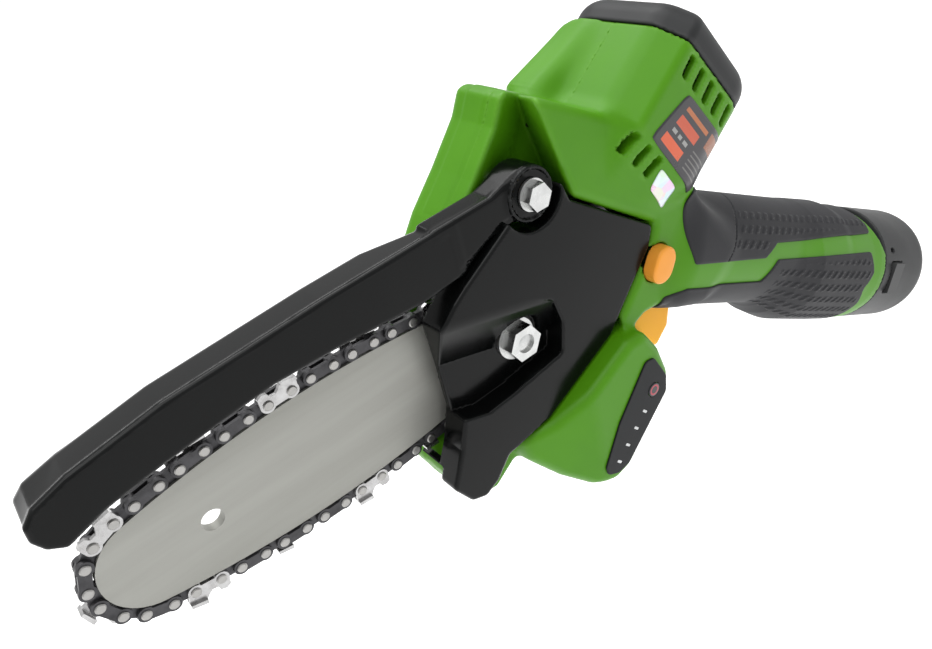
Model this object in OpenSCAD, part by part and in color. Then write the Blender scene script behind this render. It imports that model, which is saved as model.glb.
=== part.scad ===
// One-handed cordless pruning chainsaw.
// Row frame: +X runs back from the bar's nose to the battery, +Y runs away
// from the cover side, +Z is up. The bar lies level in a plane Y = constant.
// The modules below are drawn in bar coordinates, whose zero is the centre of
// the bar's nose arc in the bar's mid-plane, and at_origin() moves them so that
// the row's origin is the middle of the grip.

/* [Chain and bar] */
// Chain pitch, which is half the distance over one drive link and one strap
pitch = 6.35; // [6.35:0.01:6.36]
// Number of drive links in the loop
drive_link_count = 28; // [28:1:28]
// Rivet spacing in a strap or a cutter
strap_len = 6.93; // [6.85:0.01:7.0]
// Radius of the rivet line round the bar's nose
nose_r = 15.9; // [15.8:0.05:16.0]
// Radius of the rivet line along the bar's long sides
side_r = 273; // [272:1:274]
// Gauge of the drive links
gauge = 1.3; // [1.1:0.1:1.3]
// Thickness of a strap
strap_t = 1.1; // [1.0:0.05:1.1]
// Thickness of the guide bar
bar_t = 3.2; // [3.0:0.1:3.2]
// Radius of the hanging hole near the bar's nose
hang_r = 3.1; // [2.5:0.1:3.5]
// Distance from the nose arc's centre to the hanging hole
hang_x = 16; // [14:0.5:20]
// Distance from the nose arc's centre to the bar stud
stud_x = 112.3; // [112:0.1:113]
// Distance from the nose arc's centre to the sprocket's axis
sprocket_x = 132.59; // [132.5:0.01:132.7]

/* [Motor and gears] */
// Tilt of the motor's axis above level
motor_tilt = 36; // [35:0.5:37]
// Number of teeth on the pinion
pinion_teeth = 8; // [8:1:8]
// Number of teeth on the face gear
gear_teeth = 36; // [36:1:36]
// Mean radius of the face gear's teeth
gear_r = 21; // [20.8:0.1:21.2]
// Half width of the motor barrel
barrel_half = 24; // [23.5:0.5:24.5]
// Distance by which the barrel's shell sits above the motor's axis
barrel_up = 6; // [5:0.5:6.5]
// Height of the end cap's base above the sprocket's axis, along the barrel
cap_base = 77; // [76.5:0.5:78]

/* [Body] */
// Offset of the housing's split plane from the bar's mid-plane
mid_y = 2; // [2:0.1:2]
// Half width of the gear case
case_half = 17.5; // [17:0.5:18]
// Wall thickness of the housing
wall = 2.5; // [2:0.1:2.8]

/* [Handle and battery] */
// Angle by which the handle drops below level
handle_drop = 29; // [28:0.5:30]
// Radius of the thick part of the handle
grip_r = 24.8; // [24.6:0.1:25.2]
// Radius of the handle's neck
neck_r = 20.2; // [20:0.1:22]
// Position along the handle where the battery's cap starts
cap_start = 114; // [112:1:116]
// Position along the handle of the battery's end
cap_end = 162; // [155:1:164]

/* [Chain guard] */
// Distance from the nose arc's centre to the guard's pivot
guard_px = 124; // [123:0.5:125]
// Height of the guard's pivot above the bar's centreline
guard_pz = 43; // [42:0.5:44]

/* [Hidden] */
$fn = 48;
e = 0.01;

// ---- frames ----
grip_x = 240;
grip_z = -46.7;
module at_origin() translate([-grip_x, -mid_y, -grip_z]) children();
// extrude a profile drawn in X and Z between two values of Y
module xz(y0, y1) translate([0, y1, 0]) rotate([90, 0, 0]) linear_extrude(y1 - y0) children();
// cylinder along Y
module ycyl(x, z, r, y0, y1) translate([x, y0, z]) rotate([-90, 0, 0]) cylinder(r = r, h = y1 - y0);
// motor frame: local Z runs up the barrel, zero on the sprocket's axis
module motor_frame() translate([sprocket_x, mid_y, 0]) rotate([0, 90 - motor_tilt, 0]) children();
// handle frame: local Z runs down the handle, local X is its underside
handle_x = 193.1;
handle_z = -20.7;
module handle_frame() translate([handle_x, mid_y, handle_z]) rotate([0, 90 + handle_drop, 0]) children();
neck_up = 4.7;
module near_half() intersection() { children(); translate([-100, -60, -200]) cube([500, 60 + mid_y, 400]); }
module far_half() intersection() { children(); translate([-100, mid_y, -200]) cube([500, 60, 400]); }

// ---- chain path: the rivet line, from the nose tip over the top, round the
// sprocket and back, measured by arc length ----
sprocket_n = 6;
drive_pitch = 2 * pitch;
sp_r = sprocket_n * drive_pitch / (2 * PI);
half_w = 21.29;
// centre of the long upper arc
arc_x = 52.38;
arc_z = half_w - side_r;
nose_ang = asin(arc_x / (side_r - nose_r));
// the rivet line leaves the bar's arc at leave_x and runs straight to the sprocket
leave_x = 98;
leave_ang = asin((leave_x - arc_x) / side_r);
leave_z = arc_z + side_r * cos(leave_ang);
run_d = sqrt(pow(sprocket_x - leave_x, 2) + pow(leave_z, 2));
run_len = sqrt(run_d * run_d - sp_r * sp_r);
run_ang = atan2(-leave_z, sprocket_x - leave_x) + asin(sp_r / run_d);
s1 = nose_r * (90 - nose_ang) * PI / 180;
s2 = s1 + side_r * (nose_ang + leave_ang) * PI / 180;
s3 = s2 + run_len;
s4 = s3 + sp_r * (90 + run_ang) * PI / 180;
loop_len = 2 * s4;
// a point on the path, moved out by o, for 0 <= s <= s4
function up_pt(s, o) =
    s < s1 ? let(a = 180 - s / nose_r * 180 / PI) [(nose_r + o) * cos(a), (nose_r + o) * sin(a)] :
    s < s2 ? let(a = 90 + nose_ang - (s - s1) / side_r * 180 / PI) [arc_x + (side_r + o) * cos(a), arc_z + (side_r + o) * sin(a)] :
    s < s3 ? let(t = s - s2) [leave_x + t * cos(run_ang) - o * sin(run_ang), leave_z + t * sin(run_ang) + o * cos(run_ang)] :
    let(a = 90 + run_ang - (s - s3) / sp_r * 180 / PI) [sprocket_x + (sp_r + o) * cos(a), (sp_r + o) * sin(a)];
function path(s, o = 0) = let(q = s - loop_len * floor(s / loop_len))
    q <= s4 ? up_pt(q, o) : let(p = up_pt(loop_len - q, o)) [p[0], -p[1]];
link_pitch = loop_len / drive_link_count;
strap_s = strap_len * link_pitch / drive_pitch;
phase = 2.33;
function strap_a(m) = path(phase + m * link_pitch);
function strap_b(m) = path(phase + m * link_pitch + strap_s);
function link_a(m) = path(phase + m * link_pitch + strap_s);
function link_b(m) = path(phase + (m + 1) * link_pitch);
function dist(a, b) = sqrt(pow(b[0] - a[0], 2) + pow(b[1] - a[1], 2));
// place a flat piece on the chord from a to b, centred at y
module on_chord(a, b, y0, y1) translate([0, y1, 0]) rotate([90, 0, 0]) linear_extrude(y1 - y0)
    translate(a) rotate(atan2(b[1] - a[1], b[0] - a[0])) children();
rivet_r = 1.1;
in_y = gauge / 2 + 0.05;
out_y = in_y + strap_t;
// the chain travels towards the nose along the top, so a to b runs backwards
module strap2d(l) difference() {
    union() {
        circle(r = 2.15);
        translate([l, 0]) circle(r = 2.15);
        translate([0, -1.4]) square([l, 3.2]);
    }
    circle(r = rivet_r);
    translate([l, 0]) circle(r = rivet_r);
}
module link2d(l) difference() {
    polygon([[-2.1, -0.6], [-2.1, 0.7], [-1.2, 1.9], [1.0, 2.0], [1.9, 1.5], [l - 1.9, 1.5], [l - 1.0, 2.0],
        [l + 1.2, 1.9], [l + 2.1, 0.7], [l + 2.1, -0.6], [l + 1.0, -2.1], [l - 0.4, -3.2], [l - 1.4, -5.0],
        [l - 2.6, -5.2], [1.4, -5.2], [0.7, -4.6], [0.2, -3.0], [-1.1, -2.1]]);
    circle(r = rivet_r + 0.05);
    translate([l, 0]) circle(r = rivet_r + 0.05);
}
// a cutter's side plate: the depth gauge leads at a, the tooth trails at b
module cutter2d(l) difference() {
    union() {
        circle(r = 2.15);
        translate([l, 0]) circle(r = 2.15);
        polygon([[0, -1.4], [l, -1.4], [l + 2.0, 0.6], [l + 2.3, 3.0], [l - 2.1, 3.9], [l - 3.0, 2.6],
            [l - 4.0, 1.7], [1.4, 1.9], [0.9, 3.2], [-0.6, 3.6], [-1.9, 2.9], [-2.1, 0.5]]);
    }
    circle(r = rivet_r);
    translate([l, 0]) circle(r = rivet_r);
}

// ---- chain ----
module drive_links() color([0.24, 0.23, 0.25]) at_origin()
    for (m = [0:drive_link_count - 1])
        on_chord(link_a(m), link_b(m), -gauge / 2, gauge / 2) link2d(dist(link_a(m), link_b(m)));
module tie_straps() color([0.25, 0.24, 0.26]) at_origin()
    for (m = [0:drive_link_count - 1]) {
        a = strap_a(m);
        b = strap_b(m);
        if (m % 4 != 1) on_chord(a, b, -out_y, -in_y) strap2d(dist(a, b));
        if (m % 4 != 3) on_chord(a, b, in_y, out_y) strap2d(dist(a, b));
    }
module cutter(a, b, side) {
    l = dist(a, b);
    y0 = side < 0 ? -out_y : in_y;
    on_chord(a, b, y0, y0 + strap_t) cutter2d(l);
    // the top plate bends over the chain and stands a little outside it
    t0 = side < 0 ? -out_y - 0.9 : -1.1;
    on_chord(a, b, t0, t0 + out_y + 2.0) polygon([[l - 2.1, 3.3], [l - 2.1, 4.5], [l + 2.3, 3.7], [l + 2.3, 2.7]]);
}
module cutters() color([0.62, 0.62, 0.62]) at_origin()
    for (m = [1:2:drive_link_count - 1]) cutter(strap_a(m), strap_b(m), m % 4 == 1 ? -1 : 1);
module rivet(p) translate([p[0], 0, p[1]]) rotate([90, 0, 0]) rotate_extrude()
    polygon([[0, -out_y - 0.5], [1.15, -out_y - 0.5], [1.4, -out_y - 0.25], [1.4, -out_y], [rivet_r, -out_y],
        [rivet_r, out_y], [1.4, out_y], [1.4, out_y + 0.25], [1.15, out_y + 0.5], [0, out_y + 0.5]]);
module rivets() color([0.78, 0.77, 0.74]) at_origin()
    for (m = [0:drive_link_count - 1]) {
        rivet(strap_a(m));
        rivet(strap_b(m));
    }

// ---- guide bar ----
rail = 2.3;
bar_s = [for (i = [0:60]) i * (s2 + 9) / 60];
tail = [[116, 10.5], [119.5, 8], [121.3, 4], [121.3, -4], [119.5, -8], [116, -10.5]];
function bar_outline(o) = concat([for (s = bar_s) up_pt(s, o)], tail,
    [for (i = [60:-1:1]) let(p = up_pt(bar_s[i], o)) [p[0], -p[1]]]);
module guide_bar() color([0.61, 0.62, 0.58]) at_origin() difference() {
    xz(-bar_t / 2, bar_t / 2) polygon(bar_outline(-rail));
    // groove for the drive links
    difference() {
        xz(-gauge / 2 - 0.1, gauge / 2 + 0.1) polygon([[-30, -30], [135, -30], [135, 30], [-30, 30]]);
        xz(-2, 2) polygon(concat([for (s = bar_s) up_pt(s, -rail - 4.2)], [[110, 6.5], [111, 4], [111, -4], [110, -6.5]],
            [for (i = [60:-1:1]) let(p = up_pt(bar_s[i], -rail - 4.2)) [p[0], -p[1]]]));
    }
    ycyl(hang_x, 0, hang_r, -4, 4);
    // slot for the stud
    xz(-4, 4) union() {
        translate([92, 0]) circle(r = 3.2);
        translate([stud_x, 0]) circle(r = 3.2);
        translate([92, -3.2]) square([stud_x - 92, 6.4]);
    }
    // hole for the tensioner's pin
    ycyl(100, 8.5, 2.2, -4, 4);
    ycyl(100, -8.5, 2.2, -4, 4);
}

// ---- sprocket drive ----
notch_m = floor((s3 - phase - strap_s) / link_pitch) + 1;
notch_s = phase + notch_m * link_pitch + (strap_s + link_pitch) / 2;
notch_ang = 90 + run_ang - (notch_s - s3) / sp_r * 180 / PI;
module sprocket() color([0.45, 0.45, 0.46]) at_origin() difference() {
    ycyl(sprocket_x, 0, 9.6, -3, 3);
    for (i = [0:sprocket_n - 1]) translate([sprocket_x, 0, 0]) rotate([0, -notch_ang - i * 60, 0])
        translate([6.2, -4, -3.15]) cube([6, 8, 6.3]);
    ycyl(sprocket_x, 0, 4, -4, 4);
}
module spindle() color([0.6, 0.6, 0.62]) at_origin() difference() {
    translate([sprocket_x, 0, 0]) rotate([-90, 0, 0]) rotate_extrude()
        polygon([[0, -5.4], [3.6, -5.4], [4, -5], [4, -4.2], [3.4, -4.2], [3.4, -3.4], [4, -3.4], [4, 12.6],
            [3, 12.6], [3, 17.2], [2.6, 17.6], [0, 17.6]]);
}
module ring(x, z, r0, r1, y0, y1) difference() {
    ycyl(x, z, r1, y0, y1);
    ycyl(x, z, r0, y0 - 1, y1 + 1);
}
module sprocket_clip() color([0.3, 0.3, 0.32]) at_origin() difference() {
    ring(sprocket_x, 0, 3.4, 5.6, -4.1, -3.5);
    translate([sprocket_x, -5, -2]) cube([8, 3, 4]);
}
// a ball bearing drawn as one closed ring with its shield grooves
module bearing2d(ri, ro, w) difference() {
    translate([ri, 0]) square([ro - ri, w]);
    translate([ri + (ro - ri) * 0.3, -1]) square([(ro - ri) * 0.4, 1.3]);
    translate([ri + (ro - ri) * 0.3, w - 0.3]) square([(ro - ri) * 0.4, 1.3]);
}
module spindle_bearing_inner() color([0.7, 0.7, 0.72]) at_origin()
    translate([sprocket_x, 3.6, 0]) rotate([-90, 0, 0]) rotate_extrude() bearing2d(4.03, 8, 3.4);
module spindle_bearing_outer() color([0.7, 0.7, 0.72]) at_origin()
    translate([sprocket_x, 12.9, 0]) rotate([-90, 0, 0]) rotate_extrude() bearing2d(3.03, 8, 4.2);
plate_screws = [60, 180, 300];
module bearing_plate() color([0.66, 0.67, 0.68]) at_origin() difference() {
    ycyl(sprocket_x, 0, 14.4, 3.55, 7.0);
    ycyl(sprocket_x, 0, 8, 3, 8);
}
module face_gear() color([0.5, 0.5, 0.5]) at_origin() translate([sprocket_x, 0, 0]) difference() {
    union() {
        rotate([-90, 0, 0]) translate([0, 0, 7.9]) cylinder(r = 23.2, h = 2.6);
        rotate([-90, 0, 0]) translate([0, 0, 7.3]) cylinder(r = 7, h = 5.2);
        for (i = [0:gear_teeth - 1]) rotate([0, -motor_tilt - (i + 0.5) * 360 / gear_teeth, 0])
            intersection() {
                translate([0, 0, 0]) rotate([90, 0, 90]) linear_extrude(30)
                    polygon([[8.0, -0.85], [6.1, -0.4], [6.1, 0.4], [8.0, 0.85]]);
                rotate([-90, 0, 0]) difference() {
                    translate([0, 0, 5]) cylinder(r = 22.9, h = 4);
                    translate([0, 0, 4]) cylinder(r = 18.8, h = 6);
                }
            }
    }
    rotate([-90, 0, 0]) cylinder(r = 4, h = 20);
}

// ---- motor, in its own frame ----
pin_r = gear_r * pinion_teeth / gear_teeth;
module pinion() color([0.55, 0.55, 0.55]) at_origin() motor_frame() translate([0, 0, 19.2]) difference() {
    linear_extrude(4.6) union() {
        circle(r = pin_r - 1.15);
        for (i = [0:pinion_teeth - 1]) rotate(90 + i * 360 / pinion_teeth)
            polygon([[2, -1.0], [pin_r - 0.9, -0.8], [pin_r + 0.8, -0.35], [pin_r + 0.8, 0.35], [pin_r - 0.9, 0.8], [2, 1.0]]);
    }
    translate([0, 0, -1]) cylinder(r = 2, h = 8);
}
module rotor_shaft() color([0.7, 0.7, 0.72]) at_origin() motor_frame() rotate_extrude()
    polygon([[0, 19.4], [2, 19.4], [2, 24.6], [2.5, 24.6], [2.5, 49.6], [3, 49.6], [3, 73.6], [2.5, 73.6], [2.5, 78.8], [2, 78.8], [2, 83.6], [0, 83.6]]);
module rotor_core() color([0.35, 0.35, 0.37]) at_origin() motor_frame() translate([0, 0, 50]) difference() {
    cylinder(r = 7.8, h = 22);
    translate([0, 0, -1]) cylinder(r = 3, h = 24);
    for (i = [0:3]) rotate(i * 90) translate([5.8, -3.4, -1]) cube([4, 6.8, 24]);
}
module rotor_magnets() color([0.5, 0.5, 0.52]) at_origin() motor_frame() translate([0, 0, 50.5])
    for (i = [0:3]) rotate(i * 90) translate([5.8, -3.2, 0]) cube([1.3, 6.4, 21]);
module stator_core() color([0.42, 0.42, 0.44]) at_origin() motor_frame() translate([0, 0, 50]) linear_extrude(22) union() {
    difference() {
        circle(r = 14.6);
        circle(r = 12.6);
    }
    for (i = [0:5]) rotate(30 + i * 60) {
        translate([9.4, -1.6]) square([3.8, 3.2]);
        translate([8.3, -3.3]) square([1.4, 6.6]);
    }
}
module stator_windings() color([0.72, 0.38, 0.16]) at_origin() motor_frame() translate([0, 0, 48.05])
    for (i = [0:5]) rotate(30 + i * 60) difference() {
        translate([9.9, -3.3, 0]) cube([2.0, 6.6, 25.9]);
        translate([9, -1.65, 1.9]) cube([7, 3.3, 22.1]);
    }
module motor_plate(z0) difference() {
    union() {
        translate([0, 0, z0]) cylinder(r = 14.6, h = 1.6);
        translate([0, 0, z0]) cylinder(r = 8.2, h = 4.6);
    }
    translate([0, 0, z0 + 0.6]) cylinder(r = 6.5, h = 5);
    translate([0, 0, z0 - 1]) cylinder(r = 3.4, h = 5);
    for (i = [0:5]) rotate(i * 60) translate([11, 0, z0 - 1]) cylinder(r = 1.9, h = 4);
}
module motor_front_plate() color([0.55, 0.56, 0.58]) at_origin() motor_frame() motor_plate(43.2);
module motor_front_bearing() color([0.7, 0.7, 0.72]) at_origin() motor_frame()
    translate([0, 0, 43.8]) rotate_extrude() bearing2d(2.53, 6.5, 4);
module motor_rear_plate() color([0.55, 0.56, 0.58]) at_origin() motor_frame() translate([0, 0, 78.6]) mirror([0, 0, 1]) motor_plate(0);
module motor_rear_bearing() color([0.7, 0.7, 0.72]) at_origin() motor_frame()
    translate([0, 0, 74]) rotate_extrude() bearing2d(2.53, 6.5, 4);
module pinion_bearing() color([0.7, 0.7, 0.72]) at_origin() motor_frame()
    translate([0, 0, 28]) rotate_extrude() bearing2d(2.53, 6.5, 4);
module cooling_fan() color([0.15, 0.15, 0.16]) at_origin() motor_frame() translate([0, 0, 79.2]) difference() {
    union() {
        cylinder(r = 5, h = 3);
        cylinder(r = 14.5, h = 1);
        for (i = [0:8]) rotate(i * 40) translate([4.5, -0.5, 0.5]) cube([9.5, 1, 2.5]);
    }
    translate([0, 0, -1]) cylinder(r = 2, h = 8);
}

// ---- housing ----
lock_x = 166.6;
lock_z = -1.4;
body_y0 = mid_y - case_half;
body_y1 = mid_y + case_half;
cover_pts = [[85.9, 21], [92, 26], [96.6, 29], [110, 36.5], [129.6, 47.6], [133.6, 44.6], [136.4, 35.6],
    [150.6, 24.6], [167.2, 11.8], [164.6, 5.2], [154.4, -5.2], [144.2, -16], [114.3, -30], [100.3, -32],
    [97, -32.3], [91, -38.5], [85.5, -41], [80.5, -39], [75.8, -30.6], [81.8, -19.1], [85.6, -9]];
case_pts = [[104, 39.3], [114.1, 48.8], [124.6, 59.7], [128.6, 66.4], [131.5, 67], [150, 55.5], [165, 47], [184, 24],
    [190, 8], [200, -12], [186, -30], [177, -26.5], [170.4, -20], [159.4, -17.6], [153.8, -19.6], [146, -22], [112, -38], [104, -43], [94, -49.5],
    [87, -48], [81.5, -40.5], [78, -30.5], [84, -18], [87.5, -8], [87.5, 20], [94, 27]];
upper_pts = [[133.2, 47], [129, 49.6], [129, 66.6], [131.5, 67], [150, 55.5], [165, 47], [184, 24], [190, 8], [200, -12],
    [186, -30], [177, -26.5], [170.4, -20], [159.4, -17.6], [153.8, -19.6], [146, -21.5], [144.5, -16.4], [154.7, -5.6], [165, 4.9], [167.8, 12.1],
    [151, 25.2], [137, 36.1], [134.2, 45.2]];
wing_pts = [[105, 39.6], [114.1, 48.8], [124.6, 59.7], [128.6, 66.4], [131.5, 67], [134, 66], [134, 46.3], [130.4, 49], [112.5, 41]];
lobe_pts = [[144.6, -16.6], [152, -17.2], [157.5, -27], [160.5, -38], [159, -46.5], [138, -65], [131, -66.5], [122, -63],
    [113, -54], [104, -42], [100.4, -32.6], [114.1, -30.7]];
module barrel2d(h) translate([-barrel_up, 0]) union() {
    square([2 * h, 2 * h - 30], center = true);
    square([2 * h - 30, 2 * h], center = true);
    for (i = [-1, 1]) for (j = [-1, 1]) translate([i * (h - 15), j * (h - 15)]) circle(r = 15);
}
module lobe(t) intersection() {
    xz(-40, 40) offset(delta = -t) polygon(lobe_pts);
    translate([0, 0, -100]) linear_extrude(120) polygon([[99, body_y0 + 3 + t], [126, mid_y - 24.4 + t],
        [170, mid_y - 24.4 + t], [170, mid_y + 24.4 - t], [126, mid_y + 24.4 - t], [99, body_y1 - 3 - t]]);
}
module handle_solid(t) handle_frame() {
    translate([-neck_up, 0, -22]) cylinder(r = neck_r - t, h = 78);
    rotate_extrude() polygon([[0, 38], [14 - t, 40], [20 - t, 53], [23.6 - t, 63], [grip_r - 1 - t, 74], [grip_r - 1 - t, cap_start - 9],
        [grip_r - t, cap_start - 9], [grip_r - t, cap_start], [0, cap_start]]);
    for (a = [-121.6, 100.4]) intersection() {
        translate([0, 0, 72]) cylinder(r = grip_r, h = cap_start - 73);
        wedge(a, a + 21.2, 71, cap_start);
    }
}
module body_solid() {
    xz(3.5, body_y1 - 7) polygon(case_pts);
    intersection() {
        xz(-7.3, 3.6) polygon(case_pts);
        translate([60, -20, -60]) cube([60, 40, 32.2]);
    }
    xz(body_y1 - 7 - e, body_y1 - 3) offset(delta = -1.5) polygon(case_pts);
    xz(body_y1 - 3 - e, body_y1) offset(delta = -4) polygon(case_pts);
    xz(body_y0, 3.5 + e) polygon(upper_pts);
    xz(-3.2, 3.5 + e) polygon(wing_pts);
    // nose of the gear case, which reaches under the side cover
    pinion_nose(0);
    motor_frame() translate([0, 0, 38]) linear_extrude(13) barrel2d(barrel_half - 3.8);
    motor_frame() translate([0, 0, 50]) linear_extrude(cap_base - 50) barrel2d(barrel_half);
    lobe(0);
    handle_solid(0);
}
module pinion_nose(t) intersection() {
    xz(-6.6 - t, 3.6) translate([sprocket_x, 0]) rotate(90 - 54) translate([19.2 - t, -9.4 - t]) square([16, 18.8 + 2 * t]);
    translate([100, -20, -10]) cube([100, 40, 60]);
}
module gear_room() {
    ycyl(sprocket_x, 0, 24, 5.9, 12);
    ycyl(sprocket_x, 0, 14.5, 3, 8);
    ycyl(sprocket_x, 0, 8, 11, 17.3);
    ycyl(sprocket_x, 0, 4, 17, 17.9);
    motor_frame() translate([0, 0, 19]) cylinder(r = 6.1, h = 8);
    motor_frame() translate([0, 0, 26]) cylinder(r = 5, h = 20);
    motor_frame() translate([0, 0, 28]) cylinder(r = 6.5, h = 20);
}
module motor_room() motor_frame() {
    translate([0, 0, 43.2]) cylinder(r = 14.6, h = 35.4);
    // air space round the motor, crossed by four ribs that hold it
    translate([0, 0, 53]) difference() {
        linear_extrude(50) barrel2d(barrel_half - wall);
        cylinder(r = 17, h = 16);
        for (p = cap_screw_pts) translate([p[0], p[1], 12]) cylinder(r = 3, h = cap_base - 65);
        for (a = [0, 90, 180, 270]) rotate(a) translate([0, -1, 0]) cube([40, 2, 16]);
    }
}
// hollow behind the gears, for the wires between the battery and the motor
wire_pts = [[146, 40], [158, 29], [172, 18], [178, 26], [186, 12], [190, 2], [194, -12], [188, -20],
    [180, -12], [174, -4], [170, 3], [171.5, 8], [172, 15], [160, 25], [146, 36]];
module handle_room() handle_frame() {
    translate([-neck_up, 0, -14]) cylinder(r = neck_r - 1 - wall, h = 70);
    translate([0, 0, 54]) cylinder(r = 18, h = 9);
    translate([0, 0, 62.5]) cylinder(r = 22.3, h = 70);
}
// the trough that the chain and its sprocket run in
chain_room_pts = [[60, -26], [100, -24], [118, -20.5], [132.6, -19.5], [143, -16.6], [150, -9], [152.2, 0], [150, 9],
    [143, 16.6], [132.6, 19.5], [118, 21.5], [100, 24.6], [60, 27]];
module housing_cut() {
    gear_room();
    motor_room();
    handle_room();
    difference() {
        union() {
            xz(mid_y - 14.5, mid_y + 14.5) polygon(wire_pts);
            // hollow of the lobe, open into the handle
            intersection() {
                lobe(2.6);
                translate([100, -40, -100]) cube([80, 80, 76]);
            }
        }
        for (p = screw_pts) ycyl(p[0], p[1], 4.2, -60, 60);
    }
    xz(-8, 3.6) polygon(chain_room_pts);
    // room over the guard's rear end, so that it can swing
    translate([60, -40, 22]) cube([43, 46, 60]);
    // slot that the trigger swings in
    xz(mid_y - 6.6, mid_y + 6.6) polygon([[156.6, -9], [192, -9], [192, -60], [161.6, -60], [161.6, -31], [156.6, -18]]);
    ycyl(trig_x, trig_z, 2, mid_y - 9.5, mid_y + 9.5);
    // pocket for the guard's spring and boss
    ycyl(guard_px, guard_pz, 10.5, -20, -3.2);
    ycyl(guard_px, guard_pz, 2.6, -4, 8);
    // lock button and its spring
    ycyl(lock_x, lock_z, 5.1, -20, -10.5);
    ycyl(lock_x, lock_z, 2.7, -11, -7);
    // stud and tensioner
    ycyl(stud_x, 0, 3.05, 2, 5);
    ycyl(stud_x, 0, 5.5, 4.3, 7);
    translate([93, 3, 6]) cube([15, 6, 5.2]);
    translate([78, 6.2, 8.5]) rotate([0, 90, 0]) cylinder(r = 2.1, h = 32);
    motor_frame() for (p = cap_screw_pts) translate([p[0], p[1], cap_base - 9.8]) cylinder(r = 1, h = 12);
    // bosses for the case screws are drilled from the far side
    for (p = screw_pts) ycyl(p[0], p[1], 1.6, mid_y - 9, 60);
    for (p = screw_pts) ycyl(p[0], p[1], 3.2, p[2], 60);
    // cooling slots
    for (i = [0:4]) motor_frame() translate([-22 + i * 6.2, -40, 69.4]) cube([2.6, 80, 6.2]);
    for (i = [0:2]) motor_frame() translate([-20.5 + i * 5, -40, 42.6]) cube([2.2, 80, 6.2]);
}
screw_pts = [[141, 53.5, 17], [117, -52, 17], [147, -22, 17], [180, 2, 17]];
module housing_near() color([0.38, 0.62, 0.20]) at_origin() near_half() difference() {
    body_solid();
    housing_cut();
}
module housing_far() color([0.38, 0.62, 0.20]) at_origin() far_half() difference() {
    body_solid();
    housing_cut();
}
module housing_screws() color([0.25, 0.25, 0.26]) at_origin() for (p = screw_pts)
    translate([p[0], 0, p[1]]) rotate([-90, 0, 0]) difference() {
        union() {
            translate([0, 0, mid_y - 6]) cylinder(r = 1.6, h = p[2] - mid_y + 6.5);
            translate([0, 0, p[2]]) cylinder(r = 2.9, h = 2);
        }
        translate([0, 0, p[2] + 1]) cylinder(r = 1.3, h = 3, $fn = 6);
    }
cap_screw_pts = [[12.5, -14.5], [12.5, 14.5], [-24.5, -14.5], [-24.5, 14.5]];
module motor_end_cap() color([0.20, 0.20, 0.21]) at_origin() motor_frame() translate([0, 0, cap_base]) difference() {
    union() {
        linear_extrude(6) barrel2d(barrel_half);
        translate([0, 0, 6 - e]) linear_extrude(2.5) barrel2d(barrel_half - 1.8);
        translate([0, 0, 8.5 - 2 * e]) linear_extrude(2) barrel2d(barrel_half - 5.5);
    }
    translate([0, 0, -1]) difference() {
        union() {
            linear_extrude(6.6) barrel2d(barrel_half - wall);
            translate([0, 0, 6]) linear_extrude(2.6) barrel2d(barrel_half - 6.5);
        }
        for (p = cap_screw_pts) translate([p[0], p[1], 0]) cylinder(r = 3, h = 12);
    }
    for (p = cap_screw_pts) translate([p[0], p[1], -1]) cylinder(r = 1, h = 6);
}
module end_cap_screws() color([0.25, 0.25, 0.26]) at_origin() motor_frame()
    for (p = cap_screw_pts) translate([p[0], p[1], cap_base - 9.8]) cylinder(r = 1, h = 14.8);

// ---- side cover ----
pocket_pts = [[84, 9], [100, 13.6], [116, 13], [123, 9.8], [125, 4], [125, -4], [122, -9], [108, -13.4], [96, -14],
    [90, -12], [84, -8]];
module side_cover() color([0.13, 0.14, 0.14]) at_origin() difference() {
    union() {
        difference() {
            xz(-15, 3.3) polygon(cover_pts);
            xz(-12.8, 4) offset(delta = -2.2) polygon(cover_pts);
        }
        intersection() {
            xz(-12.9, -5.7) offset(delta = 2.4) polygon(pocket_pts);
            xz(-15, 4) polygon(cover_pts);
        }
        ycyl(stud_x, 0, 8, -6, -bar_t / 2);
    }
    xz(-16, -8.2) polygon(pocket_pts);
    ycyl(stud_x, 0, 3.3, -12, 0);
    // the bar and the chain leave at the front
    translate([60, -5.6, -26.5]) cube([32, 10, 53]);
    // round cut for the guard's boss
    ycyl(guard_px, guard_pz, 10.5, -20, 8);
    // the lower tail stops at the rim of the case
    translate([60, -7.6, -60]) cube([60, 20, 32.6]);
    // the case fills the corner behind the guard
    xz(-3.5, 4) polygon([[92, 27], [140, 52], [140, 40], [130, 36], [105, 24]]);
    pinion_nose(0.3);
}
module hex_nut(af, h, r) difference() {
    cylinder(r = af / sqrt(3), h = h, $fn = 6);
    translate([0, 0, -1]) cylinder(r = r, h = h + 2);
}
module bar_stud() color([0.7, 0.7, 0.72]) at_origin() union() {
    ycyl(stud_x, 0, 3, -12.6, 5);
    ycyl(stud_x, 0, 5.4, 4.3, 5.7);
}
module nut_washer() color([0.76, 0.76, 0.76]) at_origin() ring(stud_x, 0, 3.2, 6.6, -9.2, -8.2);
module bar_nut() color([0.78, 0.78, 0.78]) at_origin() translate([stud_x, -9.2, 0]) rotate([90, 0, 0]) hex_nut(10, 4.4, 3);
module tension_block() color([0.5, 0.5, 0.52]) at_origin() difference() {
    union() {
        translate([97, 3.7, 6.2]) cube([6, 5, 4.8]);
        ycyl(100, 8.5, 2, -1.6, 4);
    }
    translate([96, 6.2, 8.5]) rotate([0, 90, 0]) cylinder(r = 1.5, h = 8);
}
module tension_screw() color([0.7, 0.7, 0.72]) at_origin() translate([0, 6.2, 8.5]) rotate([0, 90, 0]) union() {
    translate([0, 0, 88.4]) cylinder(r = 1.5, h = 19);
    translate([0, 0, 88.4]) cylinder(r = 2, h = 3.2);
}

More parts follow.
